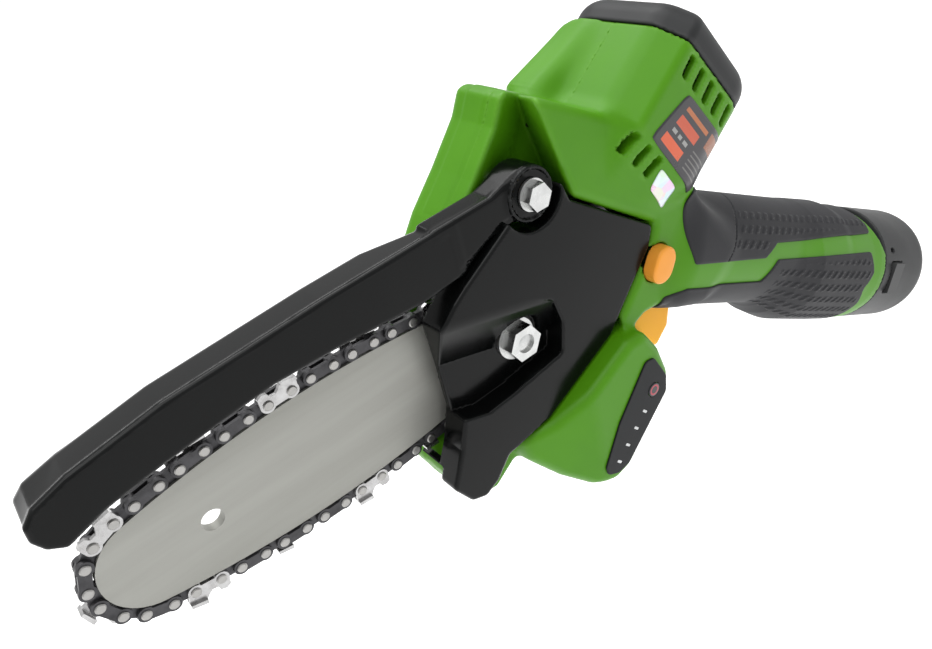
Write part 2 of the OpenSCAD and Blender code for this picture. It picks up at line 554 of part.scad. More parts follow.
// ---- chain guard ----
guard_top = [[-17, 30.5], [-16.6, 34], [-13.6, 37], [-5, 39.8], [18, 43.5], [60, 45.8], [95, 46.8], [112, 47]];
guard_low = [[98, 31.2], [85, 30.2], [60, 32.2], [42, 32.8], [30, 31.8], [12, 29.9], [-2, 27.8], [-11.9, 24.6], [-15.4, 27]];
arm_pts = concat(guard_top, [[117, 48], [121, 48.6], [121, 40.4], [112, 38.6]], guard_low);
hood_pts = concat([for (p = guard_top) if (p[0] < 90) p], [[100, 46.8], [100, 31.8]], guard_low);
guard_y0 = -12.8;
guard_y1 = 5;
// the hood's far top edge is rounded in steps
round_y = [guard_y0, -3, -0.6, 1.4, 3.2, guard_y1];
round_z = [0, 0.8, 2.0, 3.8, 6.4];
module hood(t) for (i = [0:4]) xz(round_y[i] + (i == 0 ? t : -e), round_y[i + 1] - (i == 4 ? t : 0)) intersection() {
    offset(delta = -t) polygon(hood_pts);
    offset(delta = -t) translate([round_z[i] * 0.4, -round_z[i]]) polygon(concat([[-30, 10]], hood_pts, [[140, 47], [140, 10]]));
}
module chain_guard() color([0.12, 0.13, 0.13]) at_origin() difference() {
    union() {
        xz(guard_y0, guard_y0 + 2) polygon(arm_pts);
        hood(0);
        ycyl(guard_px, guard_pz, 7.9, guard_y0 - 0.6, guard_y0 + 6);
        xz(guard_y0, guard_y0 + 6) polygon([[112, 47.4], [121, 49.8], [121, 40.4], [112, 38.6]]);
        xz(guard_y0, guard_y0 + 8.8) polygon([[97, 46.8], [112, 47.4], [116, 48.6], [116, 41.6], [112, 40], [97, 36.4]]);
    }
    // hollow under the hood
    for (i = [0:4]) xz(i == 0 ? guard_y0 + 2 : round_y[i] - e, i == 4 ? guard_y1 - 1.8 : round_y[i + 1])
        translate([0, -round_z[i]]) polygon([[-12, 0], [-13.6, 32], [-12, 34.4], [-4.4, 37.6], [18, 41.3], [60, 43.6], [98, 44.6], [98, 0]]);
    ycyl(guard_px, guard_pz, 4.05, guard_y0 - 2, guard_y0 + 8);
}
module guard_bush() color([0.72, 0.66, 0.4]) at_origin() ring(guard_px, guard_pz, 2.6, 4, guard_y0 - 1, -3.2);
module guard_pivot_bolt() color([0.76, 0.76, 0.76]) at_origin() translate([guard_px, 0, guard_pz]) rotate([90, 0, 0]) union() {
    translate([0, 0, -8]) cylinder(r = 2.6, h = 8 - guard_y0 + 1);
    translate([0, 0, -guard_y0 + 1]) cylinder(r = 4.6, h = 0.8);
    translate([0, 0, -guard_y0 + 1.8]) cylinder(r = 7 / sqrt(3), h = 3, $fn = 6);
}
// torsion spring round the bush, drawn as its coil's rings
module guard_spring() color([0.6, 0.6, 0.6]) at_origin() for (i = [0:2])
    translate([guard_px, guard_y0 + 6.55 + i * 1.1, guard_pz]) rotate([-90, 0, 0]) rotate_extrude() translate([5.4, 0]) circle(r = 0.5, $fn = 24);

// ---- trigger and switches ----
trig_x = 169.5;
trig_z = -14.6;
trig_pts = [[160, -12.6], [172, -10.8], [176.5, -17], [184.2, -28], [184.2, -32.5], [182, -40.5], [175.2, -46.2],
    [172.4, -44.6], [167.8, -37.6], [164.2, -29.7], [160.6, -22.5], [158.6, -16.5]];
module trigger() color([1.0, 0.75, 0.25]) at_origin() difference() {
    xz(mid_y - 6, mid_y + 6) polygon(trig_pts);
    ycyl(trig_x, trig_z, 2.05, -20, 20);
    // pocket for the return spring
    handle_frame() translate([8.5, 0, -14]) cylinder(r = 2.6, h = 14);
}
module trigger_pin() color([0.7, 0.7, 0.72]) at_origin() ycyl(trig_x, trig_z, 2, mid_y - 9.5, mid_y + 9.5);
module trigger_spring() color([0.7, 0.7, 0.72]) at_origin() handle_frame()
    for (i = [0:9]) translate([8.5, 0, -13.5 + i * 1.74]) rotate_extrude() translate([2, 0]) circle(r = 0.4, $fn = 16);
module switch_body() color([0.16, 0.16, 0.17]) at_origin() handle_frame() translate([-8, -7, 3]) cube([18, 14, 23]);
module lock_button() color([0.98, 0.68, 0.40]) at_origin() union() {
    ycyl(lock_x, lock_z, 4.8, -19.4, -14.3);
    ycyl(lock_x, lock_z, 2.4, -14.4, -9.5);
}
module lock_spring() color([0.7, 0.7, 0.72]) at_origin() ring(lock_x, lock_z, 2.8, 3.6, -14.3, -10.5);

// ---- grips: soft panels moulded on to each half of the handle ----
// skins that follow the neck and the thick part of the handle
module thick_skin() difference() {
    rotate_extrude() polygon([[20, 53], [23.6, 63], [grip_r - 1, 74], [grip_r - 1, cap_start - 9], [grip_r, cap_start - 9], [grip_r, 74], [24.6, 63], [21, 53]]);
    translate([-neck_up, 0, -22]) cylinder(r = neck_r, h = 78);
}
module neck_skin(z0, z1) translate([-neck_up, 0, 0]) difference() {
    translate([0, 0, z0]) cylinder(r = neck_r + 0.9, h = z1 - z0);
    translate([0, 0, z0 - 1]) cylinder(r = neck_r, h = z1 - z0 + 2);
}
module wedge(a0, a1, z0, z1) translate([0, 0, z0]) linear_extrude(z1 - z0) polygon(concat([[0, 0]],
    [for (i = [0:6]) let(a = a0 + (a1 - a0) * i / 6) 60 * [cos(a), sin(a)]]));
// angles run from the underside (0) through the cover side (-90) to the top (180)
module upper_grips() color([0.29, 0.29, 0.30]) at_origin() handle_frame() for (k = [0, 1]) mirror([0, k, 0]) {
    intersection() {
        thick_skin();
        wedge(-179.6, -122, 51, cap_start);
    }
    intersection() {
        neck_skin(20, 51.5);
        wedge(-179.6, -122, 10, 52);
    }
}
module lower_grips() color([0.28, 0.28, 0.29]) at_origin() handle_frame() for (k = [0, 1]) mirror([0, k, 0]) {
    intersection() {
        thick_skin();
        wedge(-100, -0.4, 51, cap_start);
    }
    intersection() {
        neck_skin(20, 43);
        wedge(-100, -30, 10, 52);
    }
}

// ---- battery pack ----
module battery_case() color([0.18, 0.18, 0.19]) at_origin() handle_frame() difference() {
    union() {
        translate([0, 0, 64]) cylinder(r = 21.9, h = cap_start + 4 - 64);
    }
    translate([0, 0, 66]) cylinder(r = 20.4, h = cap_start);
    // slots for the contact blades
    for (i = [-1, 0, 1]) translate([-4, i * 7 - 0.9, 60]) cube([8, 1.8, 8]);
}
module battery_cap() color([0.20, 0.21, 0.22]) at_origin() handle_frame() difference() {
    rotate_extrude() polygon(concat([[0, cap_start + 0.3], [grip_r - 0.3, cap_start + 0.3], [grip_r, cap_start + 1], [grip_r, cap_end - 16]],
        [for (i = [1:8]) [grip_r - 16 + 16 * cos(i * 11.25), cap_end - 16 + 16 * sin(i * 11.25)]], [[0, cap_end]]));
    translate([0, 0, cap_start - 1]) cylinder(r = 21.9, h = 5);
    translate([0, 0, cap_start + 3.9]) cylinder(r = 20.4, h = cap_end - cap_start - 12);
    translate([0, 0, cap_end - 9]) cylinder(r = 14, h = 6.6);
    // side windows for the latch buttons
    translate([-7, -40, cap_start + 6.6]) cube([14, 80, 9]);
}
module battery_cells() color([0.25, 0.45, 0.75]) at_origin() handle_frame()
    for (i = [0:2]) rotate(i * 120) translate([10.7, 0, 66.4]) cylinder(r = 9.15, h = 64.5);
module latch() {
    translate([-6.6, -25.6, cap_start + 7]) cube([13.2, 3.4, 8.2]);
}
module latch_near() color([0.17, 0.17, 0.18]) at_origin() handle_frame() latch();
module latch_far() color([0.17, 0.17, 0.18]) at_origin() handle_frame() mirror([0, 1, 0]) latch();
module contact_block() color([0.2, 0.2, 0.2]) at_origin() handle_frame() translate([-8, -12, 56]) cube([16, 24, 5.5]);
module contact_blades() color([0.8, 0.65, 0.3]) at_origin() handle_frame()
    for (i = [-1, 0, 1]) translate([-3, i * 7 - 0.4, 61.5]) cube([6, 0.8, 4.4]);

// ---- electronics and trim ----
module control_board() color([0.1, 0.35, 0.2]) at_origin() xz(mid_y - 12, mid_y - 10.4) polygon([[131, -34], [146, -30], [152, -38], [150, -46], [138, -57], [131, -58], [126, -54]]);
panel_pts = [[149.5, -27], [153.4, -27.8], [158, -38], [157.2, -44.4], [136.5, -62], [131.4, -62.8], [126.6, -60.2], [126.2, -56.6], [134.8, -43]];
module indicator_panel() color([0.24, 0.25, 0.26]) at_origin() xz(mid_y - 25, mid_y - 24.4) difference() {
    polygon(panel_pts);
    translate([151.5, -40]) circle(r = 2.6);
    for (i = [0:3]) translate([146.4 - i * 4.7, -46 - i * 4.1]) rotate(41) square([0.9, 2.4], center = true);
}
module led_windows() color([0.95, 0.95, 0.95]) at_origin() xz(mid_y - 24.9, mid_y - 24.4)
    for (i = [0:3]) translate([146.4 - i * 4.7, -46 - i * 4.1]) rotate(41) square([0.9, 2.4], center = true);
module power_button() color([0.75, 0.2, 0.25]) at_origin() ycyl(151.5, -40, 2.3, mid_y - 25.6, mid_y - 24.8);
module rating_label() color([0.25, 0.24, 0.26]) at_origin() motor_frame() translate([-14, -barrel_half - 0.25, 51.5]) cube([17, 0.25, 16]);
module foil_sticker() color([0.8, 0.85, 0.86]) at_origin() motor_frame() translate([-2, -barrel_half + 3.6, 40.9]) cube([11.2, 0.2, 7.8]);

housing_near();
housing_far();
motor_end_cap();
end_cap_screws();
housing_screws();
side_cover();
chain_guard();
guard_pivot_bolt();
guard_bush();
guard_spring();
guide_bar();
bar_stud();
bar_nut();
nut_washer();
tension_screw();
tension_block();
drive_links();
tie_straps();
cutters();
rivets();
sprocket();
spindle();
sprocket_clip();
spindle_bearing_inner();
spindle_bearing_outer();
bearing_plate();
face_gear();
pinion();
rotor_shaft();
rotor_core();
rotor_magnets();
stator_core();
stator_windings();
motor_front_plate();
motor_front_bearing();
pinion_bearing();
motor_rear_plate();
motor_rear_bearing();
cooling_fan();
trigger();
trigger_pin();
trigger_spring();
switch_body();
lock_button();
lock_spring();
upper_grips();
lower_grips();
battery_case();
battery_cap();
battery_cells();
latch_near();
latch_far();
contact_block();
contact_blades();
control_board();
indicator_panel();
led_windows();
power_button();
rating_label();
foil_sticker();
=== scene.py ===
import math

import bpy
import numpy as np
from mathutils import Matrix, Vector


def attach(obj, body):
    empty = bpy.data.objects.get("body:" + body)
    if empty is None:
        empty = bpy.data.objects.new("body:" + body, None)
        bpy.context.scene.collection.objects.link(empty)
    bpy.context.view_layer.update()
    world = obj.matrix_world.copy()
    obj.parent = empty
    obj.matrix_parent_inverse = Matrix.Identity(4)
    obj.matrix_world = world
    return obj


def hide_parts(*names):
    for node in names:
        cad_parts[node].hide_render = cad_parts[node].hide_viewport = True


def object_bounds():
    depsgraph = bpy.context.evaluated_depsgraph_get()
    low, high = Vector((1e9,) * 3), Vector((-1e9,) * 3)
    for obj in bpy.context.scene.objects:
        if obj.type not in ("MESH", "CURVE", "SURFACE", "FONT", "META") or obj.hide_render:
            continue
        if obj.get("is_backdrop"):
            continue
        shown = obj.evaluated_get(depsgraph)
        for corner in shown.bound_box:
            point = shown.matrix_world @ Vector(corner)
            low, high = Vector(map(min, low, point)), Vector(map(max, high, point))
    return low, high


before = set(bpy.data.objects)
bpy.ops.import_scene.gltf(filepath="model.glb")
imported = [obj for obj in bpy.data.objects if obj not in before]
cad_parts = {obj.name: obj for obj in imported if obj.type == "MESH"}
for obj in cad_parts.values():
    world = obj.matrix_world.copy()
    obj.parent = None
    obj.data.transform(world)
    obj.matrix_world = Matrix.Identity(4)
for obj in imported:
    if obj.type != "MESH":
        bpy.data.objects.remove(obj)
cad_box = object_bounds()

# Shapes are written in millimetres in the design frame of the source: bar nose near X = 0, bar plane Y = 0.
SHIFT = np.array([240.0, 2.0, -46.7])
OFFSCALE = 0.001


# ---------- distance-field toolkit ----------
def fillet(pts, r, n=4):
    out = []
    m = len(pts)
    rs = r if isinstance(r, (list, tuple)) else [r] * m
    for i in range(m):
        p0, p1, p2 = (np.array(pts[i - 1], float), np.array(pts[i], float), np.array(pts[(i + 1) % m], float))
        a, b = p0 - p1, p2 - p1
        la, lb = np.linalg.norm(a), np.linalg.norm(b)
        a, b = a / la, b / lb
        ang = math.acos(max(-1, min(1, float(a @ b))))
        t = rs[i] / max(math.tan(ang / 2), 0.05)
        t = min(t, 0.45 * la, 0.45 * lb)
        q0, q2 = p1 + a * t, p1 + b * t
        for k in range(n + 1):
            s = k / n
            out.append(tuple(q0 * (1 - s) ** 2 + p1 * 2 * s * (1 - s) + q2 * s * s))
    return out


def poly(pts, X, Z):
    d = None
    inside = None
    m = len(pts)
    for i in range(m):
        ax, az = pts[i]
        bx, bz = pts[i - 1]
        ex, ez = bx - ax, bz - az
        wx, wz = X - ax, Z - az
        t = np.clip((wx * ex + wz * ez) / (ex * ex + ez * ez + 1e-12), 0, 1)
        dd = (wx - ex * t) ** 2 + (wz - ez * t) ** 2
        d = dd if d is None else np.minimum(d, dd)
        c1, c2, c3 = Z >= az, Z < bz, ex * wz > ez * wx
        flip = (c1 & c2 & c3) | (~c1 & ~c2 & ~c3)
        inside = flip if inside is None else inside ^ flip
    return np.sqrt(d) * np.where(inside, -1.0, 1.0)


def smin(a, b, k):
    h = np.maximum(k - np.abs(a - b), 0) / k
    return np.minimum(a, b) - h * h * k * 0.25


def smax(a, b, k):
    return -smin(-a, -b, k)


def rmax(a, b, r):
    if r <= 0:
        return np.maximum(a, b)
    return np.minimum(-r, np.maximum(a, b)) + np.hypot(np.maximum(a + r, 0), np.maximum(b + r, 0))


def cyl_y(X, Z, cx, cz, r):
    return np.hypot(X - cx, Z - cz) - r


def oval(X, Z, r):
    """Outline of the lock button: a round end, a short straight side, a round end."""
    ux, uz = 0.525, 0.851
    t = np.clip((X - 166.6) * ux + (Z + 1.4) * uz, -1.6, 1.6)
    return np.hypot(X - 166.6 - t * ux, Z + 1.4 - t * uz) - r


def net(name, f, lo, hi, h, skin=None):
    ax = [lo[i] - h * 0.53 + h * np.arange(int(math.ceil((hi[i] - lo[i]) / h)) + 3) for i in range(3)]
    V = f(ax[0][:, None, None], ax[1][None, :, None], ax[2][None, None, :])
    V = np.array(np.broadcast_to(V, [len(a) for a in ax]), dtype=np.float32)
    for s in (np.s_[0], np.s_[-1], np.s_[:, 0], np.s_[:, -1], np.s_[:, :, 0], np.s_[:, :, -1]):
        V[s] = np.maximum(V[s], h)
    V[V == 0] = 1e-6
    S = V < 0
    n = np.zeros([s - 1 for s in S.shape], np.int8)
    for i in (0, 1):
        for j in (0, 1):
            for k in (0, 1):
                n += S[i:S.shape[0] - 1 + i, j:S.shape[1] - 1 + j, k:S.shape[2] - 1 + k]
    act = (n > 0) & (n < 8)
    ids = np.full(act.shape, -1, np.int64)
    ci = np.argwhere(act)
    ids[act] = np.arange(len(ci))
    acc = np.zeros((len(ci), 3))
    cnt = np.zeros(len(ci))
    for axis in range(3):
        u = np.zeros(3, int)
        u[axis] = 1
        o = [i for i in range(3) if i != axis]
        for p in (0, 1):
            for q in (0, 1):
                a = np.zeros(3, int)
                a[o[0]], a[o[1]] = p, q
                A, B = ci + a, ci + a + u
                va, vb = V[A[:, 0], A[:, 1], A[:, 2]], V[B[:, 0], B[:, 1], B[:, 2]]
                m = (va < 0) != (vb < 0)
                t = (va[m] / (va[m] - vb[m]))[:, None]
                acc[m] += A[m] + t * u
                cnt[m] += 1
    P = acc / cnt[:, None] * h + np.array([a[0] for a in ax])
    quads = []
    for axis in range(3):
        o1, o2 = (axis + 1) % 3, (axis + 2) % 3
        lo_s = [slice(1, -1)] * 3
        hi_s = [slice(1, -1)] * 3
        lo_s[axis], hi_s[axis] = slice(0, -1), slice(1, None)
        S0, S1 = S[tuple(lo_s)], S[tuple(hi_s)]
        e = np.argwhere(S0 != S1)
        ins = S0[e[:, 0], e[:, 1], e[:, 2]]
        e = e + 1
        e[:, axis] -= 1
        def cell(d1, d2):
            c = e.copy()
            c[:, o1] += d1
            c[:, o2] += d2
            return ids[c[:, 0], c[:, 1], c[:, 2]]
        q = np.stack([cell(-1, -1), cell(0, -1), cell(0, 0), cell(-1, 0)], 1)
        q[~ins] = q[~ins][:, ::-1]
        quads.append(q)
    Q = np.concatenate(quads)
    Q = Q[(Q >= 0).all(1)]

    def grad(P, eps):
        g = np.zeros_like(P)
        if not len(P):
            return g
        for i in range(3):
            d = np.zeros(3)
            d[i] = eps
            A, B = P + d, P - d
            g[:, i] = (f(A[:, 0], A[:, 1], A[:, 2]) - f(B[:, 0], B[:, 1], B[:, 2])) / (2 * eps)
        return g

    P0 = P.copy()
    for _ in range(2):
        d = f(P[:, 0], P[:, 1], P[:, 2])
        g = grad(P, 0.06)
        l2 = np.maximum((g * g).sum(1), 0.3)
        step = (d / l2)[:, None] * g
        ln = np.linalg.norm(step, axis=1, keepdims=True)
        P = P - step * np.minimum(1, 0.4 * h / np.maximum(ln, 1e-9))
    away = np.linalg.norm(P - P0, axis=1, keepdims=True)
    P = P0 + (P - P0) * np.minimum(1, 0.6 * h / np.maximum(away, 1e-9))
    nrm = grad(P, 0.22)
    if skin is not None:
        f0 = f
        on = np.abs(skin(P[:, 0], P[:, 1], P[:, 2])) < 0.3
        f = skin
        nrm[on] = grad(P[on], 0.22)
        f = f0
    nrm /= np.maximum(np.linalg.norm(nrm, axis=1, keepdims=True), 1e-9)
    return solid(name, P, Q, nrm)


def solid(name, P, Q, nrm=None):
    me = bpy.data.meshes.new(name)
    me.vertices.add(len(P))
    me.vertices.foreach_set("co", ((P - SHIFT) * OFFSCALE).astype(np.float32).ravel())
    me.loops.add(Q.size)
    me.loops.foreach_set("vertex_index", Q.astype(np.int32).ravel())
    me.polygons.add(len(Q))
    me.polygons.foreach_set("loop_start", np.arange(0, Q.size, Q.shape[1], dtype=np.int32))
    me.update(calc_edges=True)
    me.polygons.foreach_set("use_smooth", np.ones(len(Q), bool))
    if nrm is not None:
        me.normals_split_custom_set_from_vertices([tuple(v) for v in nrm.tolist()])
    me.validate(clean_customdata=False)
    ob = bpy.data.objects.new(name, me)
    bpy.context.scene.collection.objects.link(ob)
    return ob


# ---------- materials ----------
def material(name, col, alt=None, rough=0.45, rough_var=0.1, grain=900.0, bump=0.15, bump_mm=0.05, blotch=35.0,
             metal=0.0, coat=0.0, coat_rough=0.05, edge_highlight_and_wear=None, edge_amt=0.6, spec=0.5, streak=None, aniso=0.0,
             sheen=0.0, emit=None):
    m = bpy.data.materials.new(name)
    m.use_nodes = True
    nt = m.node_tree
    nt.nodes.clear()
    N = nt.nodes.new
    L = nt.links.new
    out = N("ShaderNodeOutputMaterial")
    b = N("ShaderNodeBsdfPrincipled")
    L(b.outputs["BSDF"], out.inputs["Surface"])
    tc = N("ShaderNodeTexCoord")
    mp = N("ShaderNodeMapping")
    L(tc.outputs["Object"], mp.inputs["Vector"])
    if streak:
        mp.inputs["Scale"].default_value = streak
    n1 = N("ShaderNodeTexNoise")
    n1.inputs["Scale"].default_value = blotch
    n1.inputs["Detail"].default_value = 5.0
    n1.inputs["Roughness"].default_value = 0.6
    L(mp.outputs["Vector"], n1.inputs["Vector"])
    n2 = N("ShaderNodeTexNoise")
    n2.inputs["Scale"].default_value = grain
    n2.inputs["Detail"].default_value = 3.0
    L(mp.outputs["Vector"], n2.inputs["Vector"])
    cr = N("ShaderNodeValToRGB")
    cr.color_ramp.elements[0].position = 0.3
    cr.color_ramp.elements[1].position = 0.7
    cr.color_ramp.elements[0].color = (*col, 1)
    cr.color_ramp.elements[1].color = (*(alt or tuple(c * 1.12 for c in col)), 1)
    L(n1.outputs["Fac"], cr.inputs["Fac"])
    colour = cr.outputs["Color"]
    # Lighter along sharp edges, in patches: a painted edge highlight on the plastics, and bright worn edges on the
    # metal parts.
    if edge_highlight_and_wear:
        g = N("ShaderNodeNewGeometry")
        er = N("ShaderNodeMapRange")
        er.inputs["From Min"].default_value = 0.51
        er.inputs["From Max"].default_value = 0.60
        er.inputs["To Max"].default_value = edge_amt
        L(g.outputs["Pointiness"], er.inputs["Value"])
        mul = N("ShaderNodeMath")
        mul.operation = "MULTIPLY"
        L(er.outputs["Result"], mul.inputs[0])
        L(n1.outputs["Fac"], mul.inputs[1])
        mx = N("ShaderNodeMix")
        mx.data_type = "RGBA"
        mx.inputs["B"].default_value = (*edge_highlight_and_wear, 1)
        L(mul.outputs["Value"], mx.inputs["Factor"])
        L(colour, mx.inputs["A"])
        colour = mx.outputs["Result"]
    L(colour, b.inputs["Base Color"])
    rr = N("ShaderNodeMapRange")
    rr.inputs["From Min"].default_value = 0.3
    rr.inputs["From Max"].default_value = 0.7
    rr.inputs["To Min"].default_value = max(0.02, rough - rough_var)
    rr.inputs["To Max"].default_value = min(1.0, rough + rough_var)
    L(n1.outputs["Fac"], rr.inputs["Value"])
    L(rr.outputs["Result"], b.inputs["Roughness"])
    bp = N("ShaderNodeBump")
    bp.inputs["Strength"].default_value = bump
    bp.inputs["Distance"].default_value = bump_mm * 0.001
    L(n2.outputs["Fac"], bp.inputs["Height"])
    L(bp.outputs["Normal"], b.inputs["Normal"])
    b.inputs["Metallic"].default_value = metal
    b.inputs["Specular IOR Level"].default_value = spec
    b.inputs["Coat Weight"].default_value = coat
    b.inputs["Coat Roughness"].default_value = coat_rough
    b.inputs["Anisotropic"].default_value = aniso
    b.inputs["Sheen Weight"].default_value = sheen
    if emit:
        b.inputs["Emission Color"].default_value = (*emit[0], 1)
        b.inputs["Emission Strength"].default_value = emit[1]
    return m, nt, b, colour


def lin(r, g, b):
    return tuple(((c / 255) / 12.92 if c <= 10 else ((c / 255 + 0.055) / 1.055) ** 2.4) for c in (r, g, b))


GREEN = material("green_plastic", lin(72, 134, 8), lin(78, 141, 12), rough=0.42, rough_var=0.05, grain=2600, bump=0.35, bump_mm=0.02,
                 edge_highlight_and_wear=lin(140, 196, 92), edge_amt=0.4, spec=0.22)[0]
GLOSS = material("black_gloss_plastic", lin(6, 7, 7), lin(9, 10, 10), rough=0.18, rough_var=0.05, grain=500, bump=0.08, bump_mm=0.02,
                 blotch=60, spec=0.16, edge_highlight_and_wear=lin(70, 72, 72), edge_amt=0.4)[0]
CAP = material("dark_satin_plastic", lin(34, 35, 36), lin(40, 41, 42), rough=0.48, rough_var=0.06, grain=2200, bump=0.45, bump_mm=0.03,
               edge_highlight_and_wear=lin(100, 100, 100), edge_amt=0.4, spec=0.28)[0]
INNER = material("inner_black", lin(20, 20, 21), lin(30, 30, 31), rough=0.6, grain=1200)[0]
GRIP = material("grip_rubber", lin(36, 36, 39), lin(43, 43, 46), rough=0.6, rough_var=0.06, grain=1800, bump=0.6, bump_mm=0.05,
                edge_highlight_and_wear=lin(96, 97, 99), edge_amt=0.35, spec=0.28)[0]
ORANGE = material("trigger_orange", lin(250, 172, 16), lin(252, 180, 26), spec=0.25, rough=0.38, grain=2400, bump=0.3, bump_mm=0.02,
                  edge_highlight_and_wear=lin(255, 214, 130))[0]
LOCK = material("lock_orange", lin(238, 154, 52), lin(243, 163, 62), spec=0.3, rough=0.35, grain=2400, bump=0.25, bump_mm=0.02)[0]
ZINC = material("zinc_plate", lin(196, 197, 196), lin(150, 152, 152), rough=0.3, rough_var=0.12, grain=700, bump=0.5, bump_mm=0.05,
                blotch=260, metal=1.0, edge_highlight_and_wear=lin(240, 240, 238))[0]
STEEL = material("steel", lin(176, 177, 178), lin(150, 151, 153), rough=0.32, grain=900, bump=0.2, metal=1.0)[0]
SPRING = material("spring_steel", lin(120, 122, 126), rough=0.35, metal=1.0, grain=900)[0]
BAR = material("bar_steel", lin(106, 106, 97), lin(101, 101, 92), rough=0.45, rough_var=0.05, grain=380, bump=0.3, bump_mm=0.012,
               blotch=24, metal=0.3, spec=0.25, streak=(0.12, 1.0, 1.6), edge_highlight_and_wear=lin(205, 205, 200), edge_amt=0.8)[0]
CHAIN = material("chain_black_oxide", lin(30, 29, 31), lin(42, 40, 43), rough=0.4, rough_var=0.1, grain=900, bump=0.4, bump_mm=0.03,
                 blotch=220, metal=0.5, spec=0.22, edge_highlight_and_wear=lin(110, 110, 112), edge_amt=0.7)[0]
RIVET = material("rivet_steel", lin(150, 148, 145), lin(120, 118, 116), rough=0.36, grain=1200, bump=0.5, bump_mm=0.03, blotch=400,
                 metal=0.9, edge_highlight_and_wear=lin(235, 235, 232))[0]
CUTTER = material("cutter_chrome", lin(112, 109, 108), lin(74, 72, 72), rough=0.3, rough_var=0.12, grain=900, bump=0.3, bump_mm=0.03,
                  blotch=240, metal=0.9, edge_highlight_and_wear=lin(240, 240, 240), edge_amt=0.9)[0]
BRASS = material("sintered_bush", lin(176, 150, 90), rough=0.4, metal=1.0)[0]
COPPER = material("copper_enamel", lin(168, 84, 42), rough=0.35, metal=0.9, grain=1500, bump=0.8, bump_mm=0.1)[0]
LAMI = material("laminations", lin(96, 98, 102), lin(70, 72, 76), rough=0.5, metal=0.8, streak=(1, 1, 1), grain=2500)[0]
DIE = material("die_cast", lin(150, 152, 154), lin(132, 134, 136), rough=0.55, metal=0.6, grain=1200, bump=0.5)[0]
SCREW = material("black_screws", lin(30, 30, 31), lin(44, 44, 45), rough=0.35, metal=0.8, grain=900)[0]
BOARD = material("board_green", lin(20, 76, 42), lin(30, 92, 54), rough=0.4, blotch=500)[0]
WRAP = material("cell_wrap", lin(46, 96, 150), lin(54, 104, 160), rough=0.35)[0]
PANEL = material("panel_plastic", lin(26, 27, 29), lin(31, 32, 34), rough=0.42, rough_var=0.04, grain=2600, bump=0.25, bump_mm=0.02, spec=0.14)[0]
LED = material("led_white", lin(226, 228, 228), lin(205, 208, 208), rough=0.3)[0]

BY_NODE = {
    "end_cap_screws": SCREW, "housing_screws": SCREW, "guard_pivot_bolt": ZINC, "guard_bush": BRASS, "guard_spring": SPRING,
    "guide_bar": BAR, "bar_stud": ZINC, "bar_nut": ZINC, "nut_washer": ZINC, "tension_screw": STEEL, "tension_block": DIE,
    "drive_links": CHAIN, "tie_straps": CHAIN, "cutters": CUTTER, "rivets": RIVET, "sprocket": STEEL, "spindle": STEEL,
    "sprocket_clip": SPRING, "spindle_bearing_inner": STEEL, "spindle_bearing_outer": STEEL, "bearing_plate": DIE,
    "face_gear": STEEL, "pinion": STEEL, "rotor_shaft": STEEL, "rotor_core": LAMI, "rotor_magnets": DIE, "stator_core": LAMI,
    "stator_windings": COPPER, "motor_front_plate": DIE, "motor_front_bearing": STEEL, "pinion_bearing": STEEL,
    "motor_rear_plate": DIE, "motor_rear_bearing": STEEL, "cooling_fan": INNER, "trigger_pin": STEEL, "trigger_spring": SPRING,
    "switch_body": INNER, "lock_spring": SPRING, "battery_case": CAP, "battery_cells": WRAP, "latch_near": CAP, "latch_far": CAP,
    "contact_block": INNER, "contact_blades": BRASS, "control_board": BOARD, "indicator_panel": PANEL, "led_windows": LED,
}
for node, mat in BY_NODE.items():
    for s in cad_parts[node].material_slots:
        s.material = mat


# ---------- frames of the motor and of the handle ----------
MX, MC, MS = 132.59, math.cos(math.radians(54)), math.sin(math.radians(54))
HX, HZ, HC, HS = 193.1, -20.7, math.cos(math.radians(119)), math.sin(math.radians(119))


def motor(X, Z):
    return (X - MX) * MS + Z * MC, (X - MX) * MC - Z * MS


def motor_xz(u, v):
    return MX + u * MS + v * MC, u * MC - v * MS


def handle(X, Z):
    return (X - HX) * HS + (Z - HZ) * HC, (X - HX) * HC - (Z - HZ) * HS


COVER = [(85.9, 21), (92, 26), (96.6, 29), (110, 36.5), (129.6, 47.6), (133.6, 44.6), (136.4, 35.6), (150.6, 24.6), (167.2, 11.8),
         (164.6, 5.2), (154.4, -5.2), (144.2, -16), (114.3, -30), (100.3, -32), (97, -32.3), (91, -38.5), (85.5, -41), (80.5, -39),
         (75.8, -30.6), (81.8, -19.1), (85.6, -9)]
CASE = [(104, 39.3), (114.1, 48.8), (124.6, 59.7), (128.6, 66.4), (131.5, 67), (150, 55.5), (165, 47), (184, 24), (190, 8), (200, -12),
        (186, -26), (177, -22.5), (170.4, -18.6), (159.4, -17.6), (153.8, -19.6), (146, -22), (112, -38), (104, -43), (94, -49.5),
        (87, -48), (81.5, -40.5), (78, -30.5), (84, -18), (87.5, -8), (87.5, 20), (94, 27)]
UPPER = [(134.2, 45.2), (130, 49.2), (112.5, 47.2), (114.1, 48.8), (124.6, 59.7), (128.6, 66.4), (131.5, 67), (150, 55.5), (165, 47),
         (184, 24), (190, 8), (200, -12), (186, -26), (177, -22.5), (170.4, -18.6), (159.4, -17.6), (153.8, -19.6), (146, -21.5),
         (144.5, -16.4), (154.7, -5.6), (165, 4.9), (167.8, 12.1), (151, 25.2), (137, 36.1)]
WING = [(104, 39.3), (114.1, 48.8), (124.6, 59.7), (128.6, 66.4), (131.5, 67), (142, 61), (142, 46.3), (130, 42), (112, 38)]
LOBE = [(144.6, -16.6), (152, -17.2), (157.5, -27), (160.5, -38), (159, -46.5), (138, -65), (131, -66.5), (122, -63), (113, -54),
        (104, -42), (100.4, -32.6), (114.1, -30.7)]
